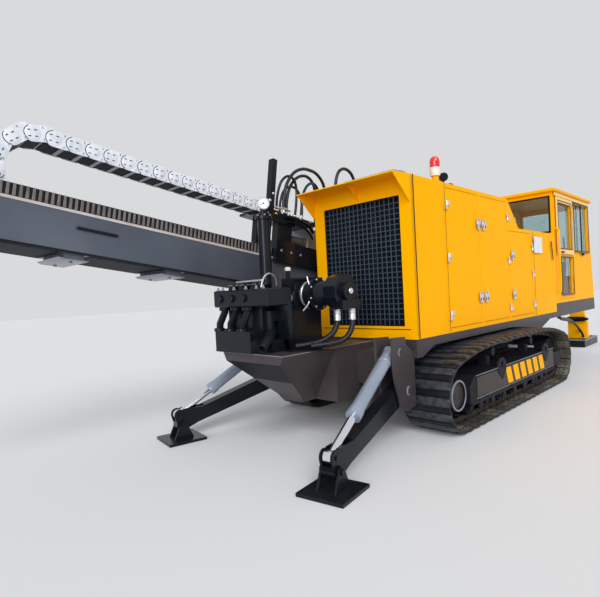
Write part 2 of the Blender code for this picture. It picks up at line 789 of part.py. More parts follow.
def build_housing():
    """Side panels, a roof that runs over the slope and down the front, and the rear frame with its hood."""
    right_outer, left_outer = DECK_RIGHT_Y, DECK_LEFT_Y
    right_inner, left_inner = right_outer + WALL, left_outer - WALL
    holes, knuckles = [], []
    for rear, front, top, hinged_at_front in DOORS.values():
        y_range = (right_outer - 0.1, right_inner + 0.1)
        holes.append(block((rear + DOOR_POST, front - DOOR_POST), y_range, (DOOR_BOTTOM, top)))
        hinge_x = front - DOOR_POST if hinged_at_front else rear + DOOR_POST
        direction = -1 if hinged_at_front else 1
        to_hinge = Matrix.Translation((hinge_x, HINGE_Y, DOOR_BOTTOM))
        for knuckle in door_hinges(direction, top - DOOR_BOTTOM, DECK_RIGHT_Y - HINGE_Y, False):
            knuckles.append(moved(knuckle, to_hinge))
    right = cut(plate("XZ", housing_profile(), (right_outer, right_inner)), *holes)
    part("housing_right_frame", fuse(right, *knuckles), "yellow", MACHINE, smooth=False)
    left = plate("XZ", housing_profile(), (left_inner, left_outer))

    outer, inner = housing_profile(), housing_profile(WALL)
    strip = outer[1:] + [(DECK_REAR_X + WALL + GAP, TALL_TOP), (DECK_REAR_X + WALL + GAP, TALL_TOP - WALL)]
    strip.remove(outer[5])
    strip += inner[4:0:-1]
    strip[-1] = (HOUSING_FRONT_X - WALL, DECK_TOP)
    roof = plate("XZ", strip, (right_inner + GAP, left_inner + 0.01))
    part("housing_shell", fuse(left, roof), "yellow", MACHINE, smooth=False)

    rear_panel = plate(
        "YZ",
        rectangle((right_inner + GAP, left_inner - GAP), (DECK_TOP, TALL_TOP)),
        (DECK_REAR_X, DECK_REAR_X + WALL),
        [rectangle((GRILLE_RIGHT_Y, GRILLE_LEFT_Y), (GRILLE_BOTTOM, GRILLE_TOP))],
    )
    lip_z = TALL_TOP - 0.012
    hood_top = plate(
        "XZ",
        [
            (DECK_REAR_X - GAP, TALL_TOP - 0.012),
            (DECK_REAR_X - HOOD_REACH, lip_z - 0.012),
            (DECK_REAR_X - HOOD_REACH, lip_z),
            (DECK_REAR_X - GAP, TALL_TOP),
        ],
        (right_outer, left_outer),
    )
    cheeks = []
    for y_range in ((right_outer, right_outer + 0.012), (left_outer - 0.012, left_outer)):
        cheeks.append(
            plate(
                "XZ",
                [
                    (DECK_REAR_X - GAP, TALL_TOP - 0.001),
                    (DECK_REAR_X - HOOD_REACH, lip_z - 0.001),
                    (DECK_REAR_X - GAP, TALL_TOP - 0.29),
                ],
                y_range,
            )
        )
    gusset = plate(
        "XZ",
        [
            (DECK_REAR_X + 0.002, TALL_TOP - 0.004),
            (DECK_REAR_X - 0.16, TALL_TOP - 0.008),
            (DECK_REAR_X + 0.002, TALL_TOP - 0.17),
        ],
        (-0.334, -0.316),
    )
    seat = block(
        (DECK_REAR_X - 0.004, DECK_REAR_X + 0.01),
        (right_inner + GAP, left_inner - GAP),
        (TALL_TOP - 0.03, TALL_TOP - 0.002),
    )
    pieces = (hood_top, *cheeks, gusset, seat)
    part("housing_rear_frame", fuse(rear_panel, *pieces), "yellow", MACHINE, smooth=False)


def hinge_heights(height):
    """Where a door's hinges sit, from its lower edge."""
    return (0.14, height / 2, height - 0.20)


def door_hinges(direction, height, face_y, for_door):
    """Knuckles of a door's hinges round its axis: the door's upper ones or the frame's lower ones.

    direction is +1 where the door lies on the +X side of the axis; face_y is the panels' outer face
    seen from the axis.
    """
    knuckles = []
    for z in hinge_heights(height):
        low, high = (z + GAP, z + KNUCKLE_LENGTH) if for_door else (z - KNUCKLE_LENGTH, z)
        away = direction if for_door else -direction
        knuckles.append(bar((0, 0, low), (0, 0, high), KNUCKLE_RADIUS, sides=12))
        knuckles.append(block((0, away * 0.045), (-0.004, face_y + 0.004), (low + 0.003, high - 0.003)))
    return knuckles


def build_doors():
    """Flush doors that hang on hinges outside their face, so that they swing clear of the frame."""
    for name, (rear, front, top, hinged_at_front) in DOORS.items():
        hinge_x = front - DOOR_POST if hinged_at_front else rear + DOOR_POST
        reach = front - rear - 2 * DOOR_POST - DOOR_GAP
        hinge = hang(f"{name}_hinge", MACHINE, (hinge_x, HINGE_Y, DOOR_BOTTOM))
        direction = -1 if hinged_at_front else 1
        height = top - DOOR_BOTTOM
        face = DECK_RIGHT_Y - HINGE_Y
        x_range = (direction * DOOR_GAP, direction * reach)
        leaf = block(x_range, (face, face + WALL), (DOOR_GAP, height - DOOR_GAP))
        leaf = fuse(soften(leaf, 0.004), *door_hinges(direction, height, face, True))
        part(name, leaf, "yellow", hinge, smooth=False)


def build_grille():
    """A mesh of bars in a thin frame, let into the rear panel's opening."""
    outline = rectangle(
        (GRILLE_RIGHT_Y + GAP, GRILLE_LEFT_Y - GAP), (GRILLE_BOTTOM + GAP, GRILLE_TOP - GAP)
    )
    columns, rows, border, bar_width = 8, 11, 0.03, 0.014
    width = GRILLE_LEFT_Y - GRILLE_RIGHT_Y - 2 * border
    height = GRILLE_TOP - GRILLE_BOTTOM - 2 * border
    holes = []
    for column in range(columns):
        for row in range(rows):
            y = GRILLE_RIGHT_Y + border + (column + 0.5) * width / columns
            z = GRILLE_BOTTOM + border + (row + 0.5) * height / rows
            half_y, half_z = width / columns / 2 - bar_width / 2, height / rows / 2 - bar_width / 2
            holes.append(rectangle((y - half_y, y + half_y), (z - half_z, z + half_z)))
    grille = plate("YZ", outline, (DECK_REAR_X + 0.008, DECK_REAR_X + 0.028), holes)
    part("radiator_grille", grille, "grille", MACHINE, smooth=False)


def build_engine_bay():
    """Heavy masses inside the housing: the radiator core behind the grille and the engine."""
    radiator = block((0.06, 0.24), (-0.90, 0.25), (DECK_TOP, 2.60))
    part("radiator", radiator, "grille", MACHINE, smooth=False)
    engine = soften(block((0.70, 2.20), (-0.72, 0.08), (DECK_TOP, 2.10)), 0.03)
    part("engine_block", engine, "steel", MACHINE, smooth=False)


def build_beacon():
    """Warning lamp on its stem at the roof's right edge."""
    profile = [
        (0.0, 0.29),
        (0.030, 0.287),
        (0.050, 0.265),
        (0.055, 0.235),
        (0.055, 0.120),
        (0.050, 0.115),
        (0.050, 0.070),
        (0.035, 0.065),
        (0.035, 0.012),
        (0.050, 0.012),
        (0.050, 0.0),
        (0.0, 0.0),
    ]
    part("beacon", turned(profile, (0.62, -0.93, TALL_TOP + GAP), (0, 0, 1), 20), "red", MACHINE)


# Cab


def cab_front(z):
    """Where the cab's front wall stands at a height: it leans forward towards its foot."""
    return CAB_FRONT_X + CAB_LEAN * (CAB_TOP - z)


def cab_windows():
    """Window openings: (name, plane, first range, height range)."""
    left_y, right_y = DECK_LEFT_Y - 0.09, DECK_RIGHT_Y + 0.06
    return [
        ("cab_glass_rear", "rear", (right_y, left_y), (LEDGE_TOP + 0.06, CAB_TOP - 0.09)),
        ("cab_glass_front", "front", (right_y + 0.02, left_y), (1.62, CAB_TOP - 0.09)),
        ("cab_glass_left", "left", (CAB_REAR_X + 0.15, CAB_FRONT_X - 0.15), (SILL, CAB_TOP - 0.09)),
        ("cab_glass_side", "right", (CAB_DOOR_FRONT_X + 0.08, CAB_FRONT_X - 0.09), (SILL, CAB_TOP - 0.09)),
    ]


def wall_block(wall, span, heights, depth):
    """A block through or in a cab wall; depth is how far it reaches from the outer face, inwards."""
    out, inside = depth
    if wall == "rear":
        return block((CAB_REAR_X + out, CAB_REAR_X + inside), span, heights)
    if wall == "front":
        low, high = sorted(heights)
        leaning = [
            (cab_front(low) - inside, low),
            (cab_front(low) - out, low),
            (cab_front(high) - out, high),
            (cab_front(high) - inside, high),
        ]
        return plate("XZ", leaning, span)
    if wall == "left":
        return block(span, (DECK_LEFT_Y - inside, DECK_LEFT_Y - out), heights)
    return block(span, (DECK_RIGHT_Y + out, DECK_RIGHT_Y + inside), heights)


def shrink(span, amount):
    low, high = sorted(span)
    return (low + amount, high - amount)


def build_cab():
    """A hollow cab with its windows and door opening cut, open at the top under the roof slab."""
    shells = []
    for wall, low, high in ((0.0, CAB_BOTTOM, CAB_TOP), (CAB_WALL, CAB_BOTTOM + CAB_WALL, CAB_TOP + 0.1)):
        profile = [
            (CAB_REAR_X + wall, low),
            (cab_front(low) - wall, low),
            (cab_front(high) - wall, high),
            (CAB_REAR_X + wall, high),
        ]
        shells.append(plate("XZ", profile, (DECK_RIGHT_Y + wall, DECK_LEFT_Y - wall)))
    outer, inner = shells
    cutters = [inner]
    for _, wall, span, heights in cab_windows():
        cutters.append(wall_block(wall, span, heights, (-0.1, CAB_WALL + 0.02)))
    door_span = (CAB_DOOR_REAR_X, CAB_DOOR_FRONT_X)
    door_heights = (CAB_DOOR_BOTTOM, CAB_DOOR_TOP)
    cutters.append(wall_block("right", door_span, door_heights, (-0.1, CAB_WALL + 0.02)))
    knuckles = door_hinges(-1, CAB_DOOR_TOP - CAB_DOOR_BOTTOM, DECK_RIGHT_Y - HINGE_Y, False)
    to_hinge = Matrix.Translation((CAB_DOOR_FRONT_X, HINGE_Y, CAB_DOOR_BOTTOM))
    knuckles = [moved(knuckle, to_hinge) for knuckle in knuckles]
    part("cab_body", fuse(cut(outer, *cutters), grab_rail(), *knuckles), "yellow", MACHINE, smooth=False)
    for name, wall, span, heights in cab_windows():
        pane = wall_block(wall, shrink(span, GAP), shrink(heights, GAP), (0.02, 0.02 + GLASS))
        part(name, pane, "glass", MACHINE, smooth=False)
    roof = soften(
        block(
            (CAB_REAR_X - ROOF_OVERHANG, CAB_FRONT_X + ROOF_OVERHANG),
            (DECK_RIGHT_Y - ROOF_OVERHANG, DECK_LEFT_Y + ROOF_OVERHANG),
            (CAB_TOP + GAP, CAB_TOP + ROOF_THICKNESS),
        ),
        0.012,
    )
    part("cab_roof", roof, "yellow", MACHINE, smooth=False)


def grab_rail():
    """The handrail at the cab's rear right corner, let into the post."""
    rail_y = DECK_RIGHT_Y - 0.07
    rail_x = CAB_REAR_X + 0.018
    wall_y = DECK_RIGHT_Y + 0.02
    route = [
        (rail_x, wall_y, 2.42),
        (rail_x, rail_y + 0.03, 2.42),
        (rail_x, rail_y, 2.37),
        (rail_x, rail_y, 1.90),
        (rail_x, rail_y, 1.42),
        (rail_x, rail_y + 0.03, 1.36),
        (rail_x, wall_y, 1.36),
    ]
    return tube(smooth_path(route, 3), 0.016)


def build_cab_door():
    """Door frame hinged at its front edge, with an upper and a lower pane."""
    hinge_y = HINGE_Y
    hinge = hang("cab_door_hinge", MACHINE, (CAB_DOOR_FRONT_X, hinge_y, CAB_DOOR_BOTTOM))
    reach = CAB_DOOR_FRONT_X - CAB_DOOR_REAR_X - DOOR_GAP
    height = CAB_DOOR_TOP - CAB_DOOR_BOTTOM
    x_range = (-reach, -DOOR_GAP)
    y_range = (DECK_RIGHT_Y - hinge_y, DECK_RIGHT_Y + CAB_WALL - hinge_y)
    outline = rectangle(x_range, (DOOR_GAP, height - DOOR_GAP))
    panes = {
        "cab_door_glass_upper": ((-reach + 0.12, -DOOR_GAP - 0.07), (0.88, height - 0.07)),
        "cab_door_glass_lower": ((-reach + 0.20, -DOOR_GAP - 0.07), (0.08, 0.72)),
    }
    holes = [rectangle(span, heights) for span, heights in panes.values()]
    knuckles = door_hinges(-1, height, DECK_RIGHT_Y - hinge_y, True)
    part("cab_door", fuse(plate("XZ", outline, y_range, holes), *knuckles), "yellow", hinge, smooth=False)
    for name, (span, heights) in panes.items():
        pane = block(shrink(span, GAP), (y_range[0] + 0.02, y_range[0] + 0.02 + GLASS), shrink(heights, GAP))
        part(name, pane, "glass", hinge, smooth=False)


def build_cab_inside():
    """Seat on its pedestal between two lever consoles."""
    floor = CAB_BOTTOM + CAB_WALL + GAP
    x, y = 5.35, -0.33
    pieces = [block((x - 0.22, x + 0.40), (y - 0.40, y + 0.40), (floor, floor + 0.04))]
    for side in (RIGHT, LEFT):
        outline = [
            (x - 0.15, floor + 0.02),
            (x + 0.25, floor + 0.02),
            (x + 0.50, floor + 0.55),
            (x + 0.50, floor + 0.70),
            (x - 0.15, floor + 0.60),
        ]
        pieces.append(plate("XZ", outline, (y + side * 0.29, y + side * 0.43)))
    part("operator_console", fuse(*pieces), "steel", MACHINE, smooth=False)
    base = floor + 0.04 + GAP
    pedestal = block((x - 0.15, x + 0.15), (y - 0.14, y + 0.14), (base, base + 0.32))
    cushion = soften(block((x - 0.24, x + 0.28), (y - 0.25, y + 0.25), (base + 0.30, base + 0.43)), 0.03, 2)
    outline = [
        (x - 0.22, base + 0.34),
        (x - 0.36, base + 0.34),
        (x - 0.47, base + 1.04),
        (x - 0.37, base + 1.06),
    ]
    back = soften(plate("XZ", outline, (y - 0.23, y + 0.23)), 0.03, 2)
    part("operator_seat", fuse(cushion, pedestal, back), "seat", MACHINE)


# Outriggers


def leg_frame(side):
    """The frame of one leg: origin on its pivot, x forward in the leg's own plane."""
    x, y, z = LEG_PIVOT
    return (x, side * y, z), (0, 0, -side * LEG_SPLAY)


def build_outrigger_bracket(side):
    """Two cheeks with the leg's and the cylinder's pins, and the arm that carries them on the hull."""
    origin, turn = leg_frame(side)
    to_machine = Matrix.Translation(origin) @ Matrix.Rotation(turn[2], 4, "Z")
    cheek_in, cheek_out = LEG_HALF_WIDTH + 0.014, LEG_HALF_WIDTH + 0.036
    outline = [
        (0.185, -0.185),
        (0.185, 0.370),
        (-0.010, 0.460),
        (-0.026, 0.540),
        (-0.325, 0.560),
        (-0.320, 0.240),
        (-0.295, 0.140),
        (-0.180, -0.135),
        (-0.020, -0.200),
    ]
    pieces = []
    for y_side in (RIGHT, LEFT):
        pieces.append(moved(plate("XZ", outline, (y_side * cheek_in, y_side * cheek_out)), to_machine))
    for x, z in ((0.0, 0.0), LEG_BARREL_PIN):
        pin = bar((x, -cheek_out - 0.016, z), (x, cheek_out + 0.016, z), PIN_RADIUS, sides=16)
        pieces.append(moved(pin, to_machine))
    back = block((0.115, 0.145), (-cheek_in - 0.004, cheek_in + 0.004), (-0.19, 0.35))
    pieces.append(moved(back, to_machine))
    pieces.append(block((-0.34, -0.08), (side * (HULL_HALF_WIDTH + GAP), side * 0.803), (0.58, 0.93)))
    part(f"outrigger_bracket_{SIDE_NAME[side]}", fuse(*pieces), "brown", MACHINE, smooth=False)


def build_outrigger(side):
    """Leg, ground pad and cylinder of one rear outrigger."""
    word = SIDE_NAME[side]
    origin, turn = leg_frame(side)
    to_machine = Matrix.Translation(origin) @ Matrix.Rotation(turn[2], 4, "Z")
    pivot = hang(f"outrigger_leg_{word}_pivot", MACHINE, origin, turn)
    half = LEG_HALF_WIDTH
    tip_x, tip_z = LEG_TIP
    eye_x, eye_z = LEG_ROD_PIN
    leg_outline = [(-0.02, 0.09), (-1.085, -0.193), (eye_x + 0.05, eye_z + 0.062)]
    leg_outline += arc((eye_x, eye_z), 0.062, 60, 190, 5)
    leg_outline += arc((tip_x, tip_z), 0.065, 170, 270, 5)
    leg_outline += [(-1.15, -0.36), (-0.03, -0.10)]
    leg_outline += arc((0, 0), 0.098, -80, 80, 8)
    leg = plate("XZ", leg_outline, (-half, half), [ring_hole((0, 0), running(PIN_RADIUS), HOLE_SIDES)])
    slot_floor = eye_z - ROD_EYE_RADIUS - 2 * LEG_EYE_PLAY
    slot = block((eye_x - 0.20, eye_x + 0.30), (-0.044, 0.044), (slot_floor, eye_z + 0.2))
    tip_hole = bar((tip_x, -0.1, tip_z), (tip_x, 0.1, tip_z), running(PAD_PIN_RADIUS), sides=HOLE_SIDES)
    leg = cut(leg, slot, tip_hole)
    pin = bar((eye_x, -half - 0.012, eye_z), (eye_x, half + 0.012, eye_z), EYE_PIN_RADIUS, sides=16)
    part(f"outrigger_leg_{word}", fuse(leg, pin), "black", pivot, smooth=False)

    pad_pivot = hang(f"outrigger_pad_{word}_pivot", pivot, (tip_x, 0, tip_z))
    ground = -(LEG_PIVOT[2] + tip_z)
    half_pad = PAD_SIZE / 2
    foot = block((-half_pad, half_pad), (-half_pad, half_pad), (ground, ground + PAD_THICKNESS))
    pieces = [bar((0, -half - 0.045, 0), (0, half + 0.045, 0), PAD_PIN_RADIUS, sides=16)]
    ear = [(-0.11, ground + PAD_THICKNESS - 0.005), (0.11, ground + PAD_THICKNESS - 0.005)]
    ear += arc((0, 0), 0.045, 0, 180, 8)
    for y_side in (RIGHT, LEFT):
        pieces.append(plate("XZ", ear, (y_side * (half + 0.010), y_side * (half + 0.030))))
    part(f"outrigger_pad_{word}", fuse(foot, *pieces), "black", pad_pivot, smooth=False)

    pins = (LEG_BARREL_PIN, LEG_ROD_PIN)
    sizes = (0.90, 0.45, 0.062, 0.035)
    build_cylinder(f"outrigger_{word}", MACHINE, to_machine, pins, sizes, LEG_EYE_PLAY)


def build_cylinder(name, parent, frame, pins, sizes, play):
    """Barrel on a hinge at its foot and rod that slides in it.

    pins holds the foot's and the rod eye's (x, z) in the frame's plane. sizes holds the barrel's length,
    where its bore starts, its radius and the rod's. The joints turn in constant ratios, so the rod's
    eye drifts round its pin in mid-stroke and gets that much play.
    """
    barrel_length, bore_start, radius, rod_radius = sizes
    foot, eye = [Vector((x, 0, z)) for x, z in pins]
    along = foot - eye
    length = along.length
    pitch = -math.atan2(along.z, along.x)
    seat = frame @ Vector(foot)
    heading = frame.to_euler().z
    pivot = hang(f"{name}_barrel_pivot", parent, seat, (0, pitch, heading))
    eye_half = 0.040
    shell = fuse(
        bar((-0.040, 0, 0), (-barrel_length, 0, 0), radius, sides=20),
        bar((-barrel_length + 0.07, 0, 0), (-barrel_length - 0.012, 0, 0), radius + 0.006, sides=20),
        bar((0, -eye_half, 0), (0, eye_half, 0), 0.058, sides=18),
    )
    shell = cut(
        shell,
        bar((-bore_start, 0, 0), (-barrel_length - 0.1, 0, 0), rod_radius + GAP, sides=20),
        bar((0, -0.1, 0), (0, 0.1, 0), running(PIN_RADIUS), sides=HOLE_SIDES),
    )
    part(f"{name}_barrel", shell, "black", pivot)
    inside = barrel_length - 0.08
    rod = fuse(
        bar((-inside, 0, 0), (-length + 0.03, 0, 0), rod_radius, sides=20),
        bar((-length, -0.034, 0), (-length, 0.034, 0), ROD_EYE_RADIUS, sides=18),
    )
    eye_hole = running(EYE_PIN_RADIUS + play)
    rod = cut(rod, bar((-length, -0.1, 0), (-length, 0.1, 0), eye_hole, sides=HOLE_SIDES))
    part(f"{name}_rod", rod, "chrome", pivot)


# Mast


def build_mast():
    """The long box beam with the chain's channel in its top, its racks, trunnions, straps and the lug of
    the tilt cylinder."""
    half = MAST_WIDTH / 2
    shoulder = half - RACK_WIDTH
    section = [
        (-half, MAST_BOTTOM),
        (half, MAST_BOTTOM),
        (half, MAST_TOP),
        (shoulder, MAST_TOP),
        (shoulder, MAST_CHANNEL),
        (-shoulder, MAST_CHANNEL),
        (-shoulder, MAST_TOP),
        (-half, MAST_TOP),
    ]
    core = rectangle(
        (-half + MAST_PLATE, half - MAST_PLATE), (MAST_BOTTOM + MAST_PLATE, MAST_CHANNEL - MAST_PLATE)
    )
    beam = plate("YZ", section, (MAST_REAR, MAST_FRONT), [core])
    reach = half + SKATE_CLEARANCE + 0.044
    pieces = []
    for side in (RIGHT, LEFT):
        pieces.append(bar((0, side * (half - 0.01), 0), (0, side * reach, 0), TRUNNION_RADIUS, sides=20))
    for x in (-5.40, -4.45):
        z_range = (MAST_BOTTOM - 0.035, MAST_BOTTOM + 0.01)
        pieces.append(block((x - 0.08, x + 0.08), (-half + 0.03, half - 0.03), z_range))
    pin_x, pin_z = tilt_pin_in_mast()
    y = TILT_FOOT[1] - MAST_MIDDLE_Y
    roof_bottom = pin_z + ROD_EYE_RADIUS + 2 * TILT_EYE_PLAY
    roof_top = roof_bottom + 0.020
    lug = [(pin_x - 0.12, roof_top), (pin_x - 0.12, pin_z - 0.02), (pin_x - 0.055, pin_z - 0.02)]
    lug += arc((pin_x, pin_z), 0.055, 200, 340, 7)
    lug += [(pin_x + 0.12, pin_z - 0.02), (pin_x + 0.12, roof_top)]
    for y_range in ((y - 0.064, y - 0.042), (y + 0.042, y + 0.064)):
        pieces.append(plate("XZ", lug, y_range))
    pieces.append(block((pin_x - 0.12, pin_x + 0.12), (y - 0.064, -half + 0.01), (roof_bottom, roof_top)))
    pieces.append(bar((pin_x, y - 0.064, pin_z), (pin_x, y + 0.064, pin_z), EYE_PIN_RADIUS, sides=14))
    for side in (RIGHT, LEFT):
        pieces.append(
            block(
                (MAST_REAR, MAST_FRONT - 0.9),
                (side * (half - 0.0005), side * (half - RACK_WIDTH)),
                (MAST_TOP - 0.01, MAST_TOP + RACK_HEIGHT),
            )
        )
    part("mast_beam", fuse(beam, *pieces), "black", MAST, smooth=False)
    vise = block((4.90, 5.70), (SPINDLE_Y - 0.24, SPINDLE_Y + 0.15), (MAST_TOP + GAP, MAST_TOP + 0.05))
    jaws = [block((4.92, 5.68), (SPINDLE_Y - 0.22, shoulder - 0.006), (MAST_CHANNEL + GAP, MAST_TOP + 0.03))]
    for rear, front in ((4.92, 5.24), (5.36, 5.68)):
        y_range = (SPINDLE_Y - 0.22, SPINDLE_Y + 0.145)
        jaws.append(soften(block((rear, front), y_range, (MAST_TOP + 0.03, SPINDLE_Z + 0.26)), 0.02))
    bore = bar((4.8, SPINDLE_Y, SPINDLE_Z), (5.8, SPINDLE_Y, SPINDLE_Z), 0.085, sides=20)
    part("drill_vise", cut(fuse(vise, *jaws), bore), "black", MAST, smooth=False)


def tilt_pin_in_mast():
    """The tilt cylinder's upper pin in the mast's own frame."""
    dx, dz = TILT_PIN[0] - MAST_PIVOT_X, TILT_PIN[1] - MAST_PIVOT_Z
    cos, sin = math.cos(MAST_ANGLE), math.sin(MAST_ANGLE)
    return dx * cos - dz * sin, dx * sin + dz * cos


def build_tilt_cylinder():
    x, y, z = TILT_FOOT
    frame = Matrix.Translation((0, y, 0))
    sizes = (0.53, 0.10, 0.050, 0.030)
    build_cylinder("mast_tilt", MACHINE, frame, ((x, z), TILT_PIN), sizes, TILT_EYE_PLAY)


def build_chain():
    """The drag chain: lower run on the mast, half-round bend, and upper run to the carriage."""
    y_range = (CHAIN_RIGHT_Y, CHAIN_RIGHT_Y + CHAIN_WIDTH)
    half = CHAIN_DEPTH / 2
    radius = (CHAIN_UPPER_Z - CHAIN_LOWER_Z) / 2
    centre = (CHAIN_BEND_X, (CHAIN_UPPER_Z + CHAIN_LOWER_Z) / 2)
    outline = [(CHAIN_FIXED_X, CHAIN_LOWER_Z - half), (CHAIN_FIXED_X, CHAIN_LOWER_Z + half)]
    outline += arc(centre, radius - half, -90, -270, 12)
    outline += arc(centre, radius + half, -270, -90, 14)
    part("drag_chain_lower", plate("XZ", outline, y_range), "chain", MAST)
    upper = block(
        (CHAIN_BEND_X + GAP, CARRIAGE_X + CHAIN_END_X),
        y_range,
        (CHAIN_UPPER_Z - half, CHAIN_UPPER_Z + half),
    )
    part("drag_chain_upper", upper, "chain", MAST, smooth=False)


def build_anchor():
    """Ground plate at the mast's front end, with the cheeks that hold the mast and the stake drive on
    its right."""
    level = hang("anchor_foot", MAST, (0, 0, 0), (0, -MAST_ANGLE, 0))

    def station(x, y, z):
        return (x - MAST_PIVOT_X, y - MAST_MIDDLE_Y, z - MAST_PIVOT_Z)

    def level_block(x_range, y_range, z_range):
        low = station(x_range[0], y_range[0], z_range[0])
        high = station(x_range[1], y_range[1], z_range[1])
        return block(*zip(low, high))

    foot = level_block(
        (ANCHOR_REAR_X, ANCHOR_FRONT_X), (ANCHOR_RIGHT_Y, ANCHOR_LEFT_Y), (0.0, ANCHOR_THICKNESS)
    )
    cheeks = []
    half = MAST_WIDTH / 2
    profile = [(7.78, 0.15), (8.62, 0.15), (8.40, 0.52), (8.00, 0.62)]
    outline = [(x - MAST_PIVOT_X, z - MAST_PIVOT_Z) for x, z in profile]
    for side in (RIGHT, LEFT):
        cheeks.append(plate("XZ", outline, (side * (half + GAP), side * (half + 0.025))))
    part("anchor_plate", fuse(soften(foot, 0.01), *cheeks), "black", level, smooth=False)
    post_face = [
        (-0.52, ANCHOR_THICKNESS + GAP),
        (-0.12, ANCHOR_THICKNESS + GAP),
        (-0.12, 0.52),
        (-0.20, 0.84),
        (-0.44, 0.84),
        (-0.52, 0.52),
    ]
    post_face = [(y - MAST_MIDDLE_Y, z - MAST_PIVOT_Z) for y, z in post_face]
    post = plate("YZ", post_face, (8.10 - MAST_PIVOT_X, 8.22 - MAST_PIVOT_X))
    part("anchor_drive", post, "yellow", level, smooth=False)
    ram_x = 8.10 - GAP - 0.055
    ram = bar(station(ram_x, -0.50, 0.62), station(ram_x, -0.14, 0.62), 0.055, sides=18)
    rod = bar(station(ram_x, -0.56, 0.62), station(ram_x, -0.49, 0.62), 0.030, sides=14)
    saddle = level_block((ram_x - 0.02, 8.10 - GAP), (-0.40, -0.24), (0.56, 0.60))
    part("anchor_ram", fuse(ram, rod, saddle), "black", level, smooth=False)


# Carriage


def build_carriage():
    """Slider that straddles the mast, gantry for the chain's end, rotary drive and spindle."""
    half = MAST_WIDTH / 2
    inner, outer = half + SKATE_CLEARANCE, half + SKATE_CLEARANCE + 0.057
    floor_bottom, floor_top = 0.388, 0.42
    slider = block((-0.60, 0.60), (-outer, outer), (floor_bottom, floor_top))
    skates = []
    for side in (RIGHT, LEFT):
        skates.append(block((-0.60, 0.60), (side * inner, side * outer), (0.165, floor_bottom + 0.01)))
        for x in (-0.45, 0.45):
            y_range = (side * (half - RACK_WIDTH + 0.005), side * (half + 0.02))
            z_range = (MAST_TOP + RACK_HEIGHT + GAP, floor_bottom + 0.01)
            skates.append(block((x - 0.15, x + 0.15), y_range, z_range))
    part("carriage_slider", fuse(slider, *skates), "black", CARRIAGE, smooth=False)

    gantry = block((-0.69, 0.21), (-0.27, 0.27), (0.770, 0.800))
    posts = []
    for y in (-0.20, 0.20):
        posts.append(block((-0.49, -0.25), (y - 0.05, y + 0.05), (floor_top + GAP, 0.775)))
    chain_half = CHAIN_DEPTH / 2
    posts.append(
        block(
            (CHAIN_END_X + GAP, -0.66),
            (CHAIN_RIGHT_Y, CHAIN_RIGHT_Y + CHAIN_WIDTH),
            (CHAIN_UPPER_Z - chain_half, CHAIN_UPPER_Z + chain_half),
        )
    )
    posts.append(block((-0.655, -0.585), (-0.27, -0.19), (0.79, 1.42)))
    part("hose_gantry", fuse(gantry, *posts), "black", CARRIAGE, smooth=False)

    case = block((0.24, 0.50), (SPINDLE_Y - 0.20, SPINDLE_Y + 0.145), (floor_top + GAP, SPINDLE_Z + 0.22))
    collar = bar((0.49, SPINDLE_Y, SPINDLE_Z), (0.58, SPINDLE_Y, SPINDLE_Z), 0.13, sides=24)
    gearbox = fuse(soften(case, 0.02), collar)
    motors = []
    for y in (SPINDLE_Y - 0.10, SPINDLE_Y + 0.09):
        z = SPINDLE_Z - 0.02
        motors.append(bar((0.25, y, z), (0.19, y, z), 0.085, sides=20))
        motors.append(bar((0.20, y, z), (-0.05, y, z), 0.065, sides=16))
    part("rotary_head", fuse(gearbox, *motors), "grey", CARRIAGE, smooth=False)
    axis = hang("spindle_axis", CARRIAGE, (0.58 + GAP, SPINDLE_Y, SPINDLE_Z))
    spindle = turned(
        [
            (0.0, 0.30),
            (0.045, 0.30),
            (0.045, 0.20),
            (0.065, 0.19),
            (0.065, 0.05),
            (0.10, 0.045),
            (0.10, 0.0),
            (0.0, 0.0),
        ],
        (0, 0, 0),
        (1, 0, 0),
        24,
    )
    part("spindle", spindle, "chrome", axis)


# Mud pump


def build_fluid_end(deck):
    """Valve block with its caps, three slanted elbows, suction box, columns, discharge stub and air
    chamber."""
    pieces = [
        block((-1.44, -1.16), (-0.05, 0.52), (deck, 1.21)),
        block((-1.30, -1.12), (-0.08, 0.46), (1.20, 1.46)),
        block((-1.16, -1.11), (-0.30, -0.07), (1.12, 1.46)),
    ]
    for y in (0.08, 0.27, 0.46):
        top, foot = (-1.345, y, 1.45), (-1.385, y + 0.055, 1.20)
        pieces.append(tube([top, (-1.35, y, 1.40), (-1.385, y + 0.045, 1.28), foot], 0.038))
        pieces.append(bar((-1.345, y, 1.425), top, 0.056, sides=14))
        pieces.append(bar(foot, (-1.385, y + 0.055, 1.235), 0.053, sides=14))
        pieces.append(bar((-1.25, y - 0.04, 1.61), (-1.25, y - 0.04, 1.665), 0.055, sides=14))
    column = block((-1.27, -1.105), (-0.17, -0.03), (deck, 1.40))
    pieces.append(cut(column, block((-1.23, -1.145), (-0.3, 0.1), (1.12, 1.30))))
    stub = [(-1.20, -0.10, 1.20), (-1.25, -0.15, 1.185), (-1.35, -0.205, 1.13), (-1.47, -0.25, 1.06)]
    mouth = bar((-1.36, -0.2085, 1.124), (-1.50, -0.261, 1.0425), 0.036, sides=16)
    pieces.append(cut(tube(stub, 0.045), mouth))
    chamber = turned(
        [
            (0.0, 0.88),
            (0.03, 0.88),
            (0.03, 0.80),
            (0.085, 0.795),
            (0.085, 0.765),
            (0.062, 0.76),
            (0.062, 0.12),
            (0.040, 0.08),
            (0.040, 0.0),
            (0.0, 0.0),
        ],
        (-1.17, -0.02, 1.54),
        (0, 0, 1),
        24,
    )
    gauge = bar((-1.19, -0.055, 2.46), (-1.155, -0.005, 2.46), 0.055, sides=20)
    fluid = soften(block((-1.42, -1.10), (-0.30, 0.55), (1.45, 1.62)), 0.012)
    part("pump_fluid_end", fuse(fluid, *pieces, chamber, gauge), "black", MACHINE)


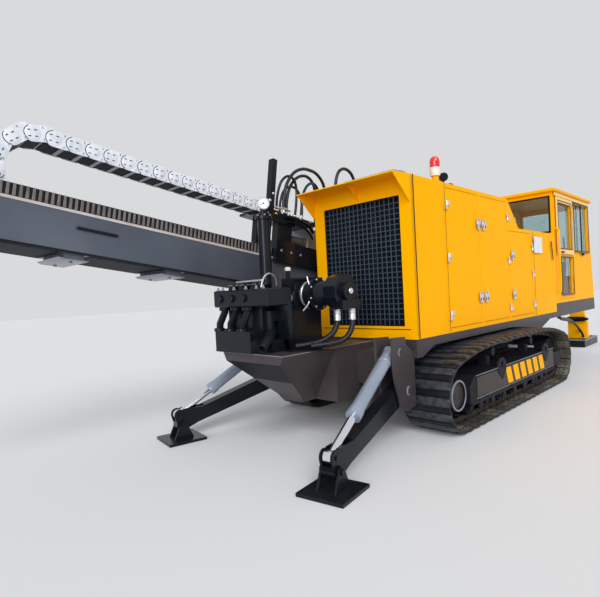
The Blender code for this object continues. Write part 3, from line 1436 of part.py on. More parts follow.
def build_pump():
    """Triplex mud pump on the rear hull: fluid end, power end, hydraulic motor and its two hoses."""
    deck = HULL_TOP + GAP
    build_fluid_end(deck)
    crank_x, crank_z = -0.70, 1.535
    case_outline = [(-1.09, deck + 0.34), (-1.09, 1.56), (-0.89, 1.58), (-0.89, 1.705), (-0.60, 1.705)]
    case_outline += arc((crank_x, crank_z), 0.20, 55, -20, 6)
    case_outline += [(-0.52, deck), (-1.00, deck)]
    case = plate("XZ", case_outline, (-0.13, 0.42))
    pieces = [
        block((-0.91, -0.49), (-0.15, 0.44), (1.695, 1.715)),
        bar((-0.76, 0.10, 1.70), (-0.76, 0.10, 1.80), 0.022, sides=12),
        bar((crank_x - 0.02, -0.12, crank_z), (crank_x - 0.02, -0.24, crank_z), 0.135, sides=24),
        bar((-1.02, -0.17, 1.515), (-1.02, 0.44, 1.515), 0.050, sides=16),
    ]
    part("pump_power_end", fuse(case, *pieces), "black", MACHINE)

    motor_x, motor_z, port_bottom = crank_x + 0.05, crank_z + 0.02, 1.38
    motor = fuse(
        bar((crank_x - 0.01, -0.2403, crank_z), (crank_x - 0.01, -0.30, crank_z), 0.165, sides=24),
        bar((crank_x, -0.29, crank_z), (motor_x - 0.01, -0.46, motor_z), 0.135, 0.120, sides=24),
        bar((motor_x, -0.45, motor_z), (motor_x, -0.60, motor_z), 0.175, sides=10),
        bar((motor_x, -0.59, motor_z), (motor_x, -0.65, motor_z), 0.09, sides=16),
        block((-0.74, -0.46), (-0.63, -0.45), (port_bottom, 1.47)),
    )
    part("pump_motor", motor, "black", MACHINE)

    routes = [
        [
            (-0.68, -0.50, 1.33),
            (-0.68, -0.50, 1.26),
            (-0.72, -0.46, 1.14),
            (-0.82, -0.36, 1.06),
            (-1.03, -0.24, 1.036),
        ],
        [
            (-0.54, -0.58, 1.33),
            (-0.54, -0.58, 1.26),
            (-0.58, -0.57, 1.14),
            (-0.70, -0.53, 1.06),
            (-0.98, -0.40, 1.036),
        ],
    ]
    for index, route in enumerate(routes):
        path = [(route[0][0], route[0][1], port_bottom - GAP), *smooth_path(route, 5)]
        part(f"pump_hose_{index + 1}", tube(path, 0.030), "rubber", MACHINE)


def main():
    build_tracks()
    for side in (RIGHT, LEFT):
        build_track_frame(side)
        build_outrigger_bracket(side)
        build_outrigger(side)
    build_chassis()
    build_hull()
    build_housing()
    build_doors()
    build_grille()
    build_engine_bay()
    build_beacon()
    build_cab()
    build_cab_door()
    build_cab_inside()
    build_mast()
    build_tilt_cylinder()
    build_chain()
    build_anchor()
    build_carriage()
    build_pump()


main()
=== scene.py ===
"""The looks of the tracked directional drill: finishes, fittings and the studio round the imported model."""

import json
import math
from collections import namedtuple

import bmesh
import bpy
import numpy as np
from mathutils import Matrix, Vector


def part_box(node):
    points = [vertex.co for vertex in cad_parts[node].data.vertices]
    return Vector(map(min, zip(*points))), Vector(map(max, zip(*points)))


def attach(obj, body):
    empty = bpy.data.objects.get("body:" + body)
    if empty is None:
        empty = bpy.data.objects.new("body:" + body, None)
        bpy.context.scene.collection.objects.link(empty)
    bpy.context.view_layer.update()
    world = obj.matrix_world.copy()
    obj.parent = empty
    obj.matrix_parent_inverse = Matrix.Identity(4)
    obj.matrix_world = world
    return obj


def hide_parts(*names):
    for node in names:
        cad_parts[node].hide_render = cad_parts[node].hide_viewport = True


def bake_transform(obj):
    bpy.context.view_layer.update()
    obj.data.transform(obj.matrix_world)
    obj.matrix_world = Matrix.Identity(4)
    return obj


bl_info = {
    "name": "Directional drill dressing",
    "version": (1, 0, 0),
    "blender": (4, 5, 0),
    "location": "3D View > Sidebar > Drill",
    "description": "Finishes and fittings for the packed directional drill",
    "category": "Object",
}

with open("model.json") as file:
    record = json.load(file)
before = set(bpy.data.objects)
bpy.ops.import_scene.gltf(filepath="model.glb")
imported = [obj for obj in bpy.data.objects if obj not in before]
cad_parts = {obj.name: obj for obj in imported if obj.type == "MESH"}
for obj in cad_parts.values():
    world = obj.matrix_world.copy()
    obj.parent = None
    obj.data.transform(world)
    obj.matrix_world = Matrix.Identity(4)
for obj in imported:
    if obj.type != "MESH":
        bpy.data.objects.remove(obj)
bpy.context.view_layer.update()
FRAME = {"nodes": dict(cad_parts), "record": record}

# The machine's own stations, counted in X from the rear end of the tracks, lie this far along the row's X.
ORIGIN_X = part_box("track_right")[0].x
DECK_RIGHT_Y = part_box("housing_right_frame")[0].y
DECK_LEFT_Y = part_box("housing_shell")[1].y
ROOF_Z = 2.7203
CARRIAGE_REST_X = -2.60
JOINTS = {joint["name"]: joint for joint in FRAME["record"]["behaviour"]["joints"]}


def frame_at(place, along, side):
    """The frame with its x axis along a direction, its y axis along a side and its origin at a place."""
    x, y = Vector(along).normalized(), Vector(side).normalized()
    z = x.cross(y)
    return Matrix([(x[i], y[i], z[i], place[i]) for i in range(3)] + [(0, 0, 0, 1)])


# The machine's, the mast's and the carriage's own frames, as the part's source has them
MACHINE = Matrix.Translation((ORIGIN_X, 0, 0))
MAST = frame_at(JOINTS["mast_tilt"]["pos_m"], JOINTS["carriage_slide"]["axis"], JOINTS["mast_tilt"]["axis"])
CARRIAGE = MAST @ Matrix.Translation((CARRIAGE_REST_X, 0, 0))

# Both sides of the machine: the right one looks towards -Y
SIDES = {"right": -1, "left": 1}


# Shapes

Shape = namedtuple("Shape", "points corners sizes")


def join(*shapes):
    """Several shapes as one: each one's corner numbers go up by the count of the points before it."""
    starts = np.cumsum([0] + [len(shape.points) for shape in shapes[:-1]])
    return Shape(
        np.concatenate([shape.points for shape in shapes]),
        np.concatenate([shape.corners + start for shape, start in zip(shapes, starts)]),
        np.concatenate([shape.sizes for shape in shapes]),
    )


def surface(points, wrap_v=False, capped=False):
    """A grid of points P(u, v) with a four-sided face between neighbours in u and v.

    Where v wraps, each row is a ring; capped closes the first and the last ring with one face each.
    """
    points = np.asarray(points, float)
    rows, columns = points.shape[:2]
    number = np.arange(rows * columns).reshape(rows, columns)
    if wrap_v:
        number = np.concatenate([number, number[:, :1]], axis=1)
    quads = np.stack([number[:-1, :-1], number[:-1, 1:], number[1:, 1:], number[1:, :-1]], axis=-1)
    corners, sizes = [quads.ravel()], [np.full(quads.shape[0] * quads.shape[1], 4)]
    if capped:
        corners += [np.arange(columns)[::-1], np.arange(columns) + (rows - 1) * columns]
        sizes.append(np.array([columns, columns]))
    return Shape(points.reshape(-1, 3), np.concatenate(corners), np.concatenate(sizes))


def axes_of(axis):
    """Two unit vectors square to the axis and to each other, and the unit axis."""
    along = np.array(axis, float) / np.linalg.norm(axis)
    across = np.cross(np.eye(3)[np.argmin(np.abs(along))], along)
    across /= np.linalg.norm(across)
    return across, np.cross(along, across), along


def lathe(profile, centre, axis=(0, 0, 1), steps=24, ring=False):
    """A turned body: at each height h of the profile a circle of its radius r, at C + h A + r (cos, sin).

    A ring's profile closes on itself, and it stays open in the middle.
    """
    if ring:
        profile = [*profile, profile[0]]
    radius, height = np.array(profile, float).T
    angle = np.arange(steps) * 2 * np.pi / steps
    across, upright, along = axes_of(axis)
    circle = np.cos(angle)[:, None] * across + np.sin(angle)[:, None] * upright
    points = np.array(centre) + radius[:, None, None] * circle + height[:, None, None] * along
    return surface(points, wrap_v=True, capped=not ring)


def rod(start, end, radius, bevel=0.002, steps=16):
    """A round bar from one point to another with its two rims drawn in by a bevel."""
    start, end = np.array(start, float), np.array(end, float)
    length = np.linalg.norm(end - start)
    profile = [(radius - bevel, 0), (radius, bevel), (radius, length - bevel), (radius - bevel, length)]
    return lathe(profile, start, end - start, steps)


def bolt(place, way, radius, bevel=0.003, steps=6):
    """A short bar, six-sided if nothing else is said, that reaches from a place along a way."""
    return rod(place, np.add(place, way), radius, bevel, steps)


def tube(path, radius, steps=10):
    """A tube round a path: at each point a circle square to the path, its first axis lying in the plane
    that best fits the whole path."""
    path = np.asarray(path, float)
    tangent = np.gradient(path, axis=0)
    tangent /= np.linalg.norm(tangent, axis=1, keepdims=True)
    plane = np.linalg.svd(path - path.mean(axis=0))[2][2]
    across = np.cross(tangent, plane)
    across /= np.linalg.norm(across, axis=1, keepdims=True)
    upright = np.cross(tangent, across)
    angle = (np.arange(steps) * 2 * np.pi / steps)[:, None]
    ring = np.cos(angle) * across[:, None] + np.sin(angle) * upright[:, None]
    radius = np.broadcast_to(radius, len(path))
    return surface(path[:, None] + radius[:, None, None] * ring, wrap_v=True, capped=True)


def smooth_path(points, steps=5):
    """Catmull and Rom's cubic through the points: between a and b, with z before and c after, it is
    (2a + (b - z) t + (2z - 5a + 4b - c) t^2 + (3a - z - 3b + c) t^3) / 2."""
    padded = np.array([points[0], *points, points[-1]], float)[:, None]
    z, a, b, c = padded[:-3], padded[1:-2], padded[2:-1], padded[3:]
    t = (np.arange(steps) / steps)[None, :, None]
    curve = 2 * a + (b - z) * t + (2 * z - 5 * a + 4 * b - c) * t ** 2 + (3 * a - z - 3 * b + c) * t ** 3
    return np.concatenate([curve.reshape(-1, 3) / 2, [points[-1]]])


def pipe(points, radius, steps=10):
    """A tube on a smooth path through its points."""
    return tube(smooth_path(points), radius, steps)


def box(low, high, bevel=0.003):
    """A box with chamfered edges: four rings upward, each a rectangle with cut corners."""
    low, high = np.minimum(low, high), np.maximum(low, high)
    bevel = min(bevel, 0.22 * min(high - low))

    def ring(inset, z):
        (x0, y0), (x1, y1) = low[:2] + inset, high[:2] - inset
        c = bevel
        return [
            (x0 + c, y0, z),
            (x1 - c, y0, z),
            (x1, y0 + c, z),
            (x1, y1 - c, z),
            (x1 - c, y1, z),
            (x0 + c, y1, z),
            (x0, y1 - c, z),
            (x0, y0 + c, z),
        ]

    rings = [ring(bevel, low[2]), ring(0, low[2] + bevel), ring(0, high[2] - bevel), ring(bevel, high[2])]
    return surface(rings, wrap_v=True, capped=True)


def rim(low, high, width, across=(0, 2), bevel=0.003):
    """Four bars round an opening in the plane of two axes: two whole ones at the ends of the second axis, and
    two between them at the ends of the first."""
    bars = []
    for axis, other, inset in ((across[1], across[0], 0.0), (across[0], across[1], width)):
        for at_high_end in (False, True):
            near, far = np.array(low, float), np.array(high, float)
            near[other] += inset
            far[other] -= inset
            if at_high_end:
                near[axis] = far[axis] - width
            else:
                far[axis] = near[axis] + width
            bars.append(box(near, far, bevel))
    return bars


PLANES = {"XZ": (0, 2, 1), "YZ": (2, 0, 1), "XY": (0, 1, 2)}


def slab(plane, outline, depths, bevel=0.0015):
    """A flat outline with thickness: four rings in depth, the outer two drawn in along the corners' mitres."""
    points = np.array(outline, float)
    after = np.roll(points, -1, axis=0)
    if np.sum(points[:, 0] * after[:, 1] - points[:, 1] * after[:, 0]) < 0:
        points = points[::-1]
        after = np.roll(points, -1, axis=0)
    edge = after - points
    edge /= np.linalg.norm(edge, axis=1, keepdims=True)
    inward = np.stack([-edge[:, 1], edge[:, 0]], axis=1)
    before = np.roll(inward, 1, axis=0)
    mitre = (before + inward) / (1 + np.sum(before * inward, axis=1, keepdims=True))
    low, high = sorted(depths)
    rings = []
    for inset, depth in ((bevel, low), (0, low + bevel), (0, high - bevel), (bevel, high)):
        flat = points + inset * mitre
        rings.append(np.column_stack([flat, np.full(len(flat), depth)])[:, PLANES[plane]])
    return surface(rings, wrap_v=True, capped=True)


def arc(centre, radius, start, end, steps):
    """Points C + r (cos a, sin a), with a from start to end in degrees."""
    angle = np.radians(np.linspace(start, end, steps + 1))
    return list(zip(centre[0] + radius * np.cos(angle), centre[1] + radius * np.sin(angle)))


def round_about(centre, radius, count, plane, start=0.0):
    """Places spread evenly round a circle in a plane."""
    turns = start + np.arange(count) * 2 * math.pi / count
    flat = np.column_stack([np.cos(turns), np.sin(turns), np.zeros(count)]) * radius
    return np.array(centre) + flat[:, PLANES[plane]]


def shifts(offsets):
    """One shifting matrix for each offset."""
    offsets = np.atleast_2d(np.array(offsets, float))
    matrices = np.tile(np.eye(4), (len(offsets), 1, 1))
    matrices[:, :3, 3] = offsets
    return matrices


def repeat(shape, matrices):
    """The shape once for each matrix M, all at once: every point p becomes M p."""
    matrices = np.atleast_3d(np.array(matrices, float)).reshape(-1, 4, 4)
    points = np.einsum("kij,nj->kni", matrices[:, :3, :3], shape.points) + matrices[:, None, :3, 3]
    starts = np.arange(len(matrices)) * len(shape.points)
    corners = (shape.corners + starts[:, None]).ravel()
    return Shape(points.reshape(-1, 3), corners, np.tile(shape.sizes, len(matrices)))


def put_in_scene(name, data):
    """A new object of the data, in the scene's own collection."""
    thing = bpy.data.objects.new(name, data)
    bpy.context.scene.collection.objects.link(thing)
    return thing


def set_inputs(node, values):
    """Sets a node's inputs by their names."""
    for name, value in values.items():
        node.inputs[name].default_value = value


def new_material(name, inputs):
    """A material with nodes, and its shader with these inputs."""
    material = bpy.data.materials.new(name)
    material.use_nodes = True
    shader = material.node_tree.nodes["Principled BSDF"]
    set_inputs(shader, inputs)
    return material, shader


def add_piece(name, shape, finish, body="chassis", frame=MACHINE, replaces=()):
    """Puts a shape, or a list of them, into a mesh with its points turned into the row, and lets it ride."""
    placed = repeat(join(*shape) if isinstance(shape, list) else shape, [np.array(frame)])
    mesh = bpy.data.meshes.new(name)
    mesh.vertices.add(len(placed.points))
    mesh.vertices.foreach_set("co", placed.points.ravel())
    mesh.loops.add(len(placed.corners))
    mesh.loops.foreach_set("vertex_index", placed.corners)
    mesh.polygons.add(len(placed.sizes))
    mesh.polygons.foreach_set("loop_start", np.concatenate([[0], np.cumsum(placed.sizes)[:-1]]))
    mesh.update(calc_edges=True)
    cage = bmesh.new()
    cage.from_mesh(mesh)
    bmesh.ops.remove_doubles(cage, verts=cage.verts, dist=0.00001)
    bmesh.ops.recalc_face_normals(cage, faces=cage.faces)
    cage.to_mesh(mesh)
    cage.free()
    mesh.shade_smooth()
    mesh.set_sharp_from_angle(angle=math.radians(35))
    mesh.materials.append(MATERIALS[finish])
    piece = put_in_scene(name, mesh)
    if body:
        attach(piece, body)
    if replaces:
        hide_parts(*replaces)
    return piece


# Stage


# The camera that was fitted to the photograph: yaw, pitch and roll in degrees, and its place at the machine
CAMERA_TURNS = (45.113, -0.712, -2.926)
CAMERA_PLACE = (-4.251, -3.570, 1.562)
FLOOR_HALF = 60
SUN_SPREAD = math.radians(30)


def set_camera(settings):
    """A pinhole camera turned by yaw, pitch and roll about its own place."""
    yaw, pitch, roll = (math.radians(turn) for turn in CAMERA_TURNS)
    forward = Vector((math.cos(yaw) * math.cos(pitch), math.sin(yaw) * math.cos(pitch), math.sin(pitch)))
    level = Vector((math.sin(yaw), -math.cos(yaw), 0.0))
    upright = level.cross(forward)
    right = math.cos(roll) * level + math.sin(roll) * upright
    up = -math.sin(roll) * level + math.cos(roll) * upright
    data = bpy.data.cameras.new("photo_camera")
    data.sensor_width = 36.0
    data.lens = settings.lens
    data.clip_end = 200.0
    camera = put_in_scene("photo_camera", data)
    place = MACHINE @ Vector(CAMERA_PLACE)
    rows = [(right[i], up[i], -forward[i], place[i]) for i in range(3)]
    camera.matrix_world = Matrix(rows + [(0, 0, 0, 1)])
    bpy.context.scene.camera = camera


def amount(name, description, default, low=0.0):
    """A setting that is one number."""
    return bpy.props.FloatProperty(name=name, description=description, default=default, min=low)


def tint(name, description, default):
    """A setting that is a colour."""
    texts = {"name": name, "description": description}
    return bpy.props.FloatVectorProperty(**texts, subtype="COLOR", size=3, default=default)


class StageSettings(bpy.types.PropertyGroup):
    lens: amount("Lens", "Focal length of the camera", 28.25, low=10.0)
    floor_colour: tint("Floor", "Colour of the floor", (0.88, 0.885, 0.895))
    backdrop: tint("Backdrop", "Colour behind the machine", (0.695, 0.702, 0.716))
    sun_power: amount("Key light", "Strength of the sun from behind the camera", 1.5)
    fill_power: amount("Fill light", "Strength of the lower sun", 1.2)
    sky_power: amount("Sky", "Strength of the even light from all round", 0.50)


class DRILL_OT_stage(bpy.types.Operator):
    """Lay the floor, light the studio and set the photograph's camera"""

    bl_idname = "drill.stage"
    bl_label = "Stage"

    def execute(self, context):
        settings = context.scene.drill_stage
        set_camera(settings)
        mesh = bpy.data.meshes.new("floor")
        corners = [(x * FLOOR_HALF, y * FLOOR_HALF, 0) for x, y in ((-1, -1), (1, -1), (1, 1), (-1, 1))]
        mesh.from_pydata(corners, [], [(0, 1, 2, 3)])
        floor = put_in_scene("floor", mesh)
        colour = (*settings.floor_colour, 1)
        inputs = {"Base Color": colour, "Roughness": 0.9, "Specular IOR Level": 0.1}
        mesh.materials.append(new_material("floor", inputs)[0])

        world = bpy.data.worlds.new("studio")
        world.use_nodes = True
        context.scene.world = world
        nodes, links = world.node_tree.nodes, world.node_tree.links
        nodes.clear()
        out = nodes.new("ShaderNodeOutputWorld")
        mix = nodes.new("ShaderNodeMixShader")
        path = nodes.new("ShaderNodeLightPath")
        light = nodes.new("ShaderNodeBackground")
        set_inputs(light, {"Color": (0.93, 0.96, 1.0, 1), "Strength": settings.sky_power})
        shown = nodes.new("ShaderNodeBackground")
        set_inputs(shown, {"Color": (*settings.backdrop, 1)})
        seen = path.outputs["Is Camera Ray"]
        for ray in ("Is Glossy Ray", "Is Transmission Ray"):
            either = nodes.new("ShaderNodeMath")
            either.operation = "MAXIMUM"
            links.new(seen, either.inputs[0])
            links.new(path.outputs[ray], either.inputs[1])
            seen = either.outputs[0]
        links.new(seen, mix.inputs["Fac"])
        links.new(light.outputs[0], mix.inputs[1])
        links.new(shown.outputs[0], mix.inputs[2])
        links.new(mix.outputs[0], out.inputs["Surface"])

        for name, power, tilt, turn in (
            ("key", settings.sun_power, 55, -35),
            ("fill", settings.fill_power, 75, -65),
        ):
            sun = bpy.data.lights.new(name, "SUN")
            sun.energy = power
            sun.angle = SUN_SPREAD
            put_in_scene(name, sun).rotation_euler = (math.radians(tilt), 0, math.radians(turn))
        context.scene.view_settings.view_transform = "Standard"
        return {"FINISHED"}


# Finishes


def group_socket(tree, name, kind, into=True, default=None):
    """A new input or output of a node group."""
    socket = tree.interface.new_socket(name=name, in_out="INPUT" if into else "OUTPUT", socket_type=kind)
    if default is not None:
        socket.default_value = default
    return socket


def wear_and_sheen_group():
    """Node group: broad mottling, fine grain and dust that settles on upward faces, on Object coordinates. On the
    mast's finish the broad mottling is painted reflection.
    """
    tree = bpy.data.node_groups.new("worn_surface_and_sheen", "ShaderNodeTree")
    for name, kind, default in (
        ("Colour", "NodeSocketColor", (0.5, 0.5, 0.5, 1)),
        ("Second Colour", "NodeSocketColor", (0.4, 0.4, 0.4, 1)),
        ("Dust Colour", "NodeSocketColor", (0.33, 0.30, 0.26, 1)),
        ("Mottling", "NodeSocketFloat", 0.2),
        ("Dust", "NodeSocketFloat", 0.15),
        ("Scale", "NodeSocketFloat", 3.0),
        ("Grain Scale", "NodeSocketFloat", 300.0),
        ("Roughness", "NodeSocketFloat", 0.3),
        ("Roughness Spread", "NodeSocketFloat", 0.15),
    ):
        group_socket(tree, name, kind, True, default)
    for name, kind in (
        ("Colour", "NodeSocketColor"),
        ("Roughness", "NodeSocketFloat"),
        ("Height", "NodeSocketFloat"),
    ):
        group_socket(tree, name, kind, False)
    nodes, links = tree.nodes, tree.links
    source, sink = nodes.new("NodeGroupInput"), nodes.new("NodeGroupOutput")
    place = nodes.new("ShaderNodeTexCoord")

    def noise(scale_socket, detail):
        texture = nodes.new("ShaderNodeTexNoise")
        texture.inputs["Detail"].default_value = detail
        links.new(place.outputs["Object"], texture.inputs["Vector"])
        links.new(source.outputs[scale_socket], texture.inputs["Scale"])
        return texture.outputs["Fac"]

    def maths(operation, a, b):
        node = nodes.new("ShaderNodeMath")
        node.operation = operation
        node.use_clamp = True
        for socket, value in zip(node.inputs, (a, b)):
            if isinstance(value, (int, float)):
                socket.default_value = value
            else:
                links.new(value, socket)
        return node.outputs[0]

    def blend(factor, a, b):
        node = nodes.new("ShaderNodeMix")
        node.data_type = "RGBA"
        links.new(factor, node.inputs["Factor"])
        links.new(a, node.inputs["A"])
        links.new(b, node.inputs["B"])
        return node.outputs["Result"]

    broad, grain = noise("Scale", 5.0), noise("Grain Scale", 3.0)
    patches = maths("MULTIPLY", maths("SUBTRACT", broad, 0.42), 4.0)
    mottle = maths("MULTIPLY", patches, source.outputs["Mottling"])
    base = blend(mottle, source.outputs["Colour"], source.outputs["Second Colour"])
    shape = nodes.new("ShaderNodeNewGeometry")
    split = nodes.new("ShaderNodeSeparateXYZ")
    links.new(shape.outputs["Normal"], split.inputs[0])
    upward = maths("MULTIPLY", maths("ADD", split.outputs["Z"], 0.12), broad)
    dust = maths("MULTIPLY", upward, source.outputs["Dust"])
    dust = maths("MULTIPLY", dust, 1.6)
    links.new(blend(dust, base, source.outputs["Dust Colour"]), sink.inputs["Colour"])
    spread = maths("MULTIPLY", grain, source.outputs["Roughness Spread"])
    rough = maths("ADD", source.outputs["Roughness"], spread)
    links.new(maths("ADD", rough, maths("MULTIPLY", dust, 0.6)), sink.inputs["Roughness"])
    links.new(grain, sink.inputs["Height"])
    return tree


WEAR_AND_SHEEN = wear_and_sheen_group()

Finish = namedtuple(
    "Finish",
    "slot colour second rough spread mottling scale grain_scale bump specular metallic coat dust",
    defaults=(0.0, 0.0, 0.0),
)

# finish: the record's material slot, two colours that mottle into each other, roughness and its spread,
# mottling, its scale, the grain's scale, bump, specular; then metallic, coat and dust where there are any
FINISHES = {
    "yellow_paint": Finish(
        "yellow", (1.0, 0.445, 0.0), (0.97, 0.405, 0.0),
        0.34, 0.08, 0.15, 1.1, 240, 0.02, 0.03,
    ),
    "black_paint": Finish(
        "black", (0.004, 0.006, 0.01), (0.01, 0.013, 0.02),
        0.2, 0.12, 0.5, 2.5, 260, 0.03, 0.16, coat=0.1, dust=0.02,
    ),
    "brown_paint": Finish(
        "brown", (0.052, 0.042, 0.045), (0.036, 0.029, 0.031),
        0.36, 0.12, 0.6, 3.0, 260, 0.05, 0.25, coat=0.1, dust=0.04,
    ),
    "track_steel": Finish(
        "steel", (0.01, 0.011, 0.015), (0.026, 0.028, 0.035),
        0.34, 0.2, 0.6, 9.0, 180, 0.12, 0.25, metallic=0.3,
    ),
    "rack_steel": Finish(
        "steel", (0.055, 0.045, 0.04), (0.11, 0.085, 0.07),
        0.4, 0.2, 0.6, 12.0, 200, 0.1, 0.5, metallic=0.7, dust=0.1,
    ),
    "rack_tooth": Finish(
        "steel", (0.2, 0.175, 0.165), (0.11, 0.095, 0.09),
        0.38, 0.2, 0.8, 16.0, 220, 0.08, 0.5, metallic=0.4,
    ),
    "wear_strip": Finish(
        "steel", (0.62, 0.57, 0.55), (0.42, 0.38, 0.37),
        0.32, 0.15, 0.6, 6.0, 260, 0.03, 0.5, metallic=0.3,
    ),
    # mast_paint_and_painted_reflection: dark beam paint, lifted to a lighter blue-grey and mottled in broad
    # patches as painted reflection of the bright surroundings
    "mast_paint_and_painted_reflection": Finish(
        "black", (0.066, 0.077, 0.1), (0.12, 0.137, 0.17),
        0.26, 0.14, 1.0, 0.55, 300, 0.02, 0.22, metallic=0.1,
    ),
    "chrome": Finish(
        "chrome", (0.78, 0.81, 0.86), (0.7, 0.72, 0.76),
        0.06, 0.05, 0.2, 6.0, 400, 0.0, 0.5, metallic=1.0,
    ),
    "bright_steel": Finish(
        "chain", (0.74, 0.76, 0.8), (0.58, 0.6, 0.64),
        0.24, 0.14, 0.4, 8.0, 320, 0.04, 0.5, metallic=0.85, dust=0.05,
    ),
    "chain_zinc": Finish(
        "chain", (0.8, 0.83, 0.9), (0.6, 0.63, 0.7),
        0.3, 0.14, 0.7, 9.0, 320, 0.03, 0.4, metallic=0.15,
    ),
    # frame_black_and_hull_shade: the track frames' own black, and the painted shade on the hull's slanting rear
    "frame_black_and_hull_shade": Finish(
        "brown", (0.012, 0.012, 0.018), (0.02, 0.019, 0.026),
        0.36, 0.12, 0.5, 3.0, 260, 0.04, 0.06,
    ),
    # grey_metal_and_edge_highlight: grey metal parts, and the painted highlights along the side panels' edges
    "grey_metal_and_edge_highlight": Finish(
        "grey", (0.23, 0.25, 0.28), (0.15, 0.165, 0.19),
        0.32, 0.14, 0.5, 5.0, 260, 0.04, 0.5, metallic=0.35, coat=0.2, dust=0.08,
    ),
    "dark_mesh": Finish(
        "grille", (0.006, 0.009, 0.016), (0.014, 0.019, 0.03),
        0.45, 0.15, 0.5, 7.0, 200, 0.04, 0.15, metallic=0.2,
    ),
    "hose_rubber": Finish(
        "rubber", (0.008, 0.009, 0.012), (0.018, 0.019, 0.024),
        0.3, 0.14, 0.5, 20.0, 500, 0.08, 0.35, coat=0.1,
    ),
    "seat_cloth": Finish(
        "seat", (0.03, 0.032, 0.038), (0.055, 0.056, 0.062),
        0.85, 0.1, 0.6, 30.0, 900, 0.3, 0.2, dust=0.05,
    ),
    "red_lens": Finish(
        "red", (0.8, 0.01, 0.01), (0.6, 0.006, 0.008),
        0.1, 0.04, 0.2, 20.0, 300, 0.0, 0.5, coat=0.6,
    ),
    "brass": Finish(
        "chain", (0.72, 0.46, 0.16), (0.5, 0.3, 0.1),
        0.25, 0.15, 0.4, 14.0, 300, 0.04, 0.5, metallic=1.0, dust=0.05,
    ),
    "blue_grey": Finish(
        "grey", (0.29, 0.34, 0.43), (0.2, 0.24, 0.31),
        0.2, 0.1, 0.5, 4.0, 260, 0.03, 0.5, metallic=0.2, coat=0.4,
    ),
    "cream_plastic": Finish(
        "yellow", (0.8, 0.76, 0.66), (0.7, 0.66, 0.57),
        0.35, 0.08, 0.2, 12.0, 300, 0.02, 0.5, dust=0.05,
    ),
    "white_enamel": Finish(
        "chain", (0.82, 0.82, 0.8), (0.74, 0.74, 0.73),
        0.3, 0.08, 0.2, 12.0, 300, 0.01, 0.5, dust=0.02,
    ),
    "pale_yellow": Finish(
        "yellow", (0.93, 0.6, 0.19), (0.88, 0.54, 0.15),
        0.34, 0.08, 0.2, 2.0, 260, 0.02, 0.25, coat=0.1, dust=0.02,
    ),
    "tan_panel": Finish(
        "brown", (0.04, 0.034, 0.033), (0.028, 0.024, 0.023),
        0.38, 0.15, 0.6, 6.0, 220, 0.06, 0.2, coat=0.1, dust=0.02,
    ),
    "shoe_scuffed": Finish(
        "steel", (0.06, 0.066, 0.082), (0.018, 0.02, 0.027),
        0.32, 0.22, 1.0, 14.0, 260, 0.1, 0.3, metallic=0.35,
    ),
    "shoe_inside": Finish(
        "steel", (0.06, 0.055, 0.05), (0.23, 0.21, 0.17),
        0.65, 0.15, 1.0, 3.0, 220, 0.1, 0.2, metallic=0.1, dust=0.05,
    ),
    "mesh_wire": Finish(
        "grille", (0.06, 0.082, 0.108), (0.04, 0.056, 0.076),
        0.4, 0.12, 0.5, 8.0, 260, 0.02, 0.2, metallic=0.3,
    ),
    # shade_and_mark_black: painted shade on the mast's underside and inside the drag chain, and the real dark seam
    # lines and dial marks
    "shade_and_mark_black": Finish(
        "black", (0.006, 0.01, 0.014), (0.014, 0.018, 0.024),
        0.55, 0.1, 0.4, 3.0, 260, 0.03, 0.1,
    ),
}
MATERIALS = {}


def make_finish(name):
    """One finish as a material: the group of mottling, grain and dust (painted reflection on the mast) feeds a
    shader's colour, roughness and bump.
    """
    finish = FINISHES[name]
    material, shader = new_material(name, {
        "Metallic": finish.metallic,
        "Specular IOR Level": finish.specular,
        "Coat Weight": finish.coat,
        "Coat Roughness": 0.08,
    })
    nodes, links = material.node_tree.nodes, material.node_tree.links
    wear = nodes.new("ShaderNodeGroup")
    wear.node_tree = WEAR_AND_SHEEN
    set_inputs(wear, {
        "Colour": (*finish.colour, 1),
        "Second Colour": (*finish.second, 1),
        "Mottling": finish.mottling,
        "Dust": finish.dust,
        "Scale": finish.scale,
        "Grain Scale": finish.grain_scale,
        "Roughness": finish.rough,
        "Roughness Spread": finish.spread,
    })
    links.new(wear.outputs["Colour"], shader.inputs["Base Color"])
    links.new(wear.outputs["Roughness"], shader.inputs["Roughness"])
    if finish.bump:
        height = nodes.new("ShaderNodeBump")
        set_inputs(height, {"Strength": finish.bump, "Distance": 0.002})
        links.new(wear.outputs["Height"], height.inputs["Height"])
        links.new(height.outputs["Normal"], shader.inputs["Normal"])
    return material


def make_glass():
    """Thin tinted pane: mostly clear, with a coat of reflection."""
    return new_material("tinted_glass", {
        "Base Color": (0.62, 0.74, 0.73, 1),
        "Roughness": 0.02,
        "Transmission Weight": 1.0,
        "IOR": 1.1,
        "Coat Weight": 0.5,
    })[0]


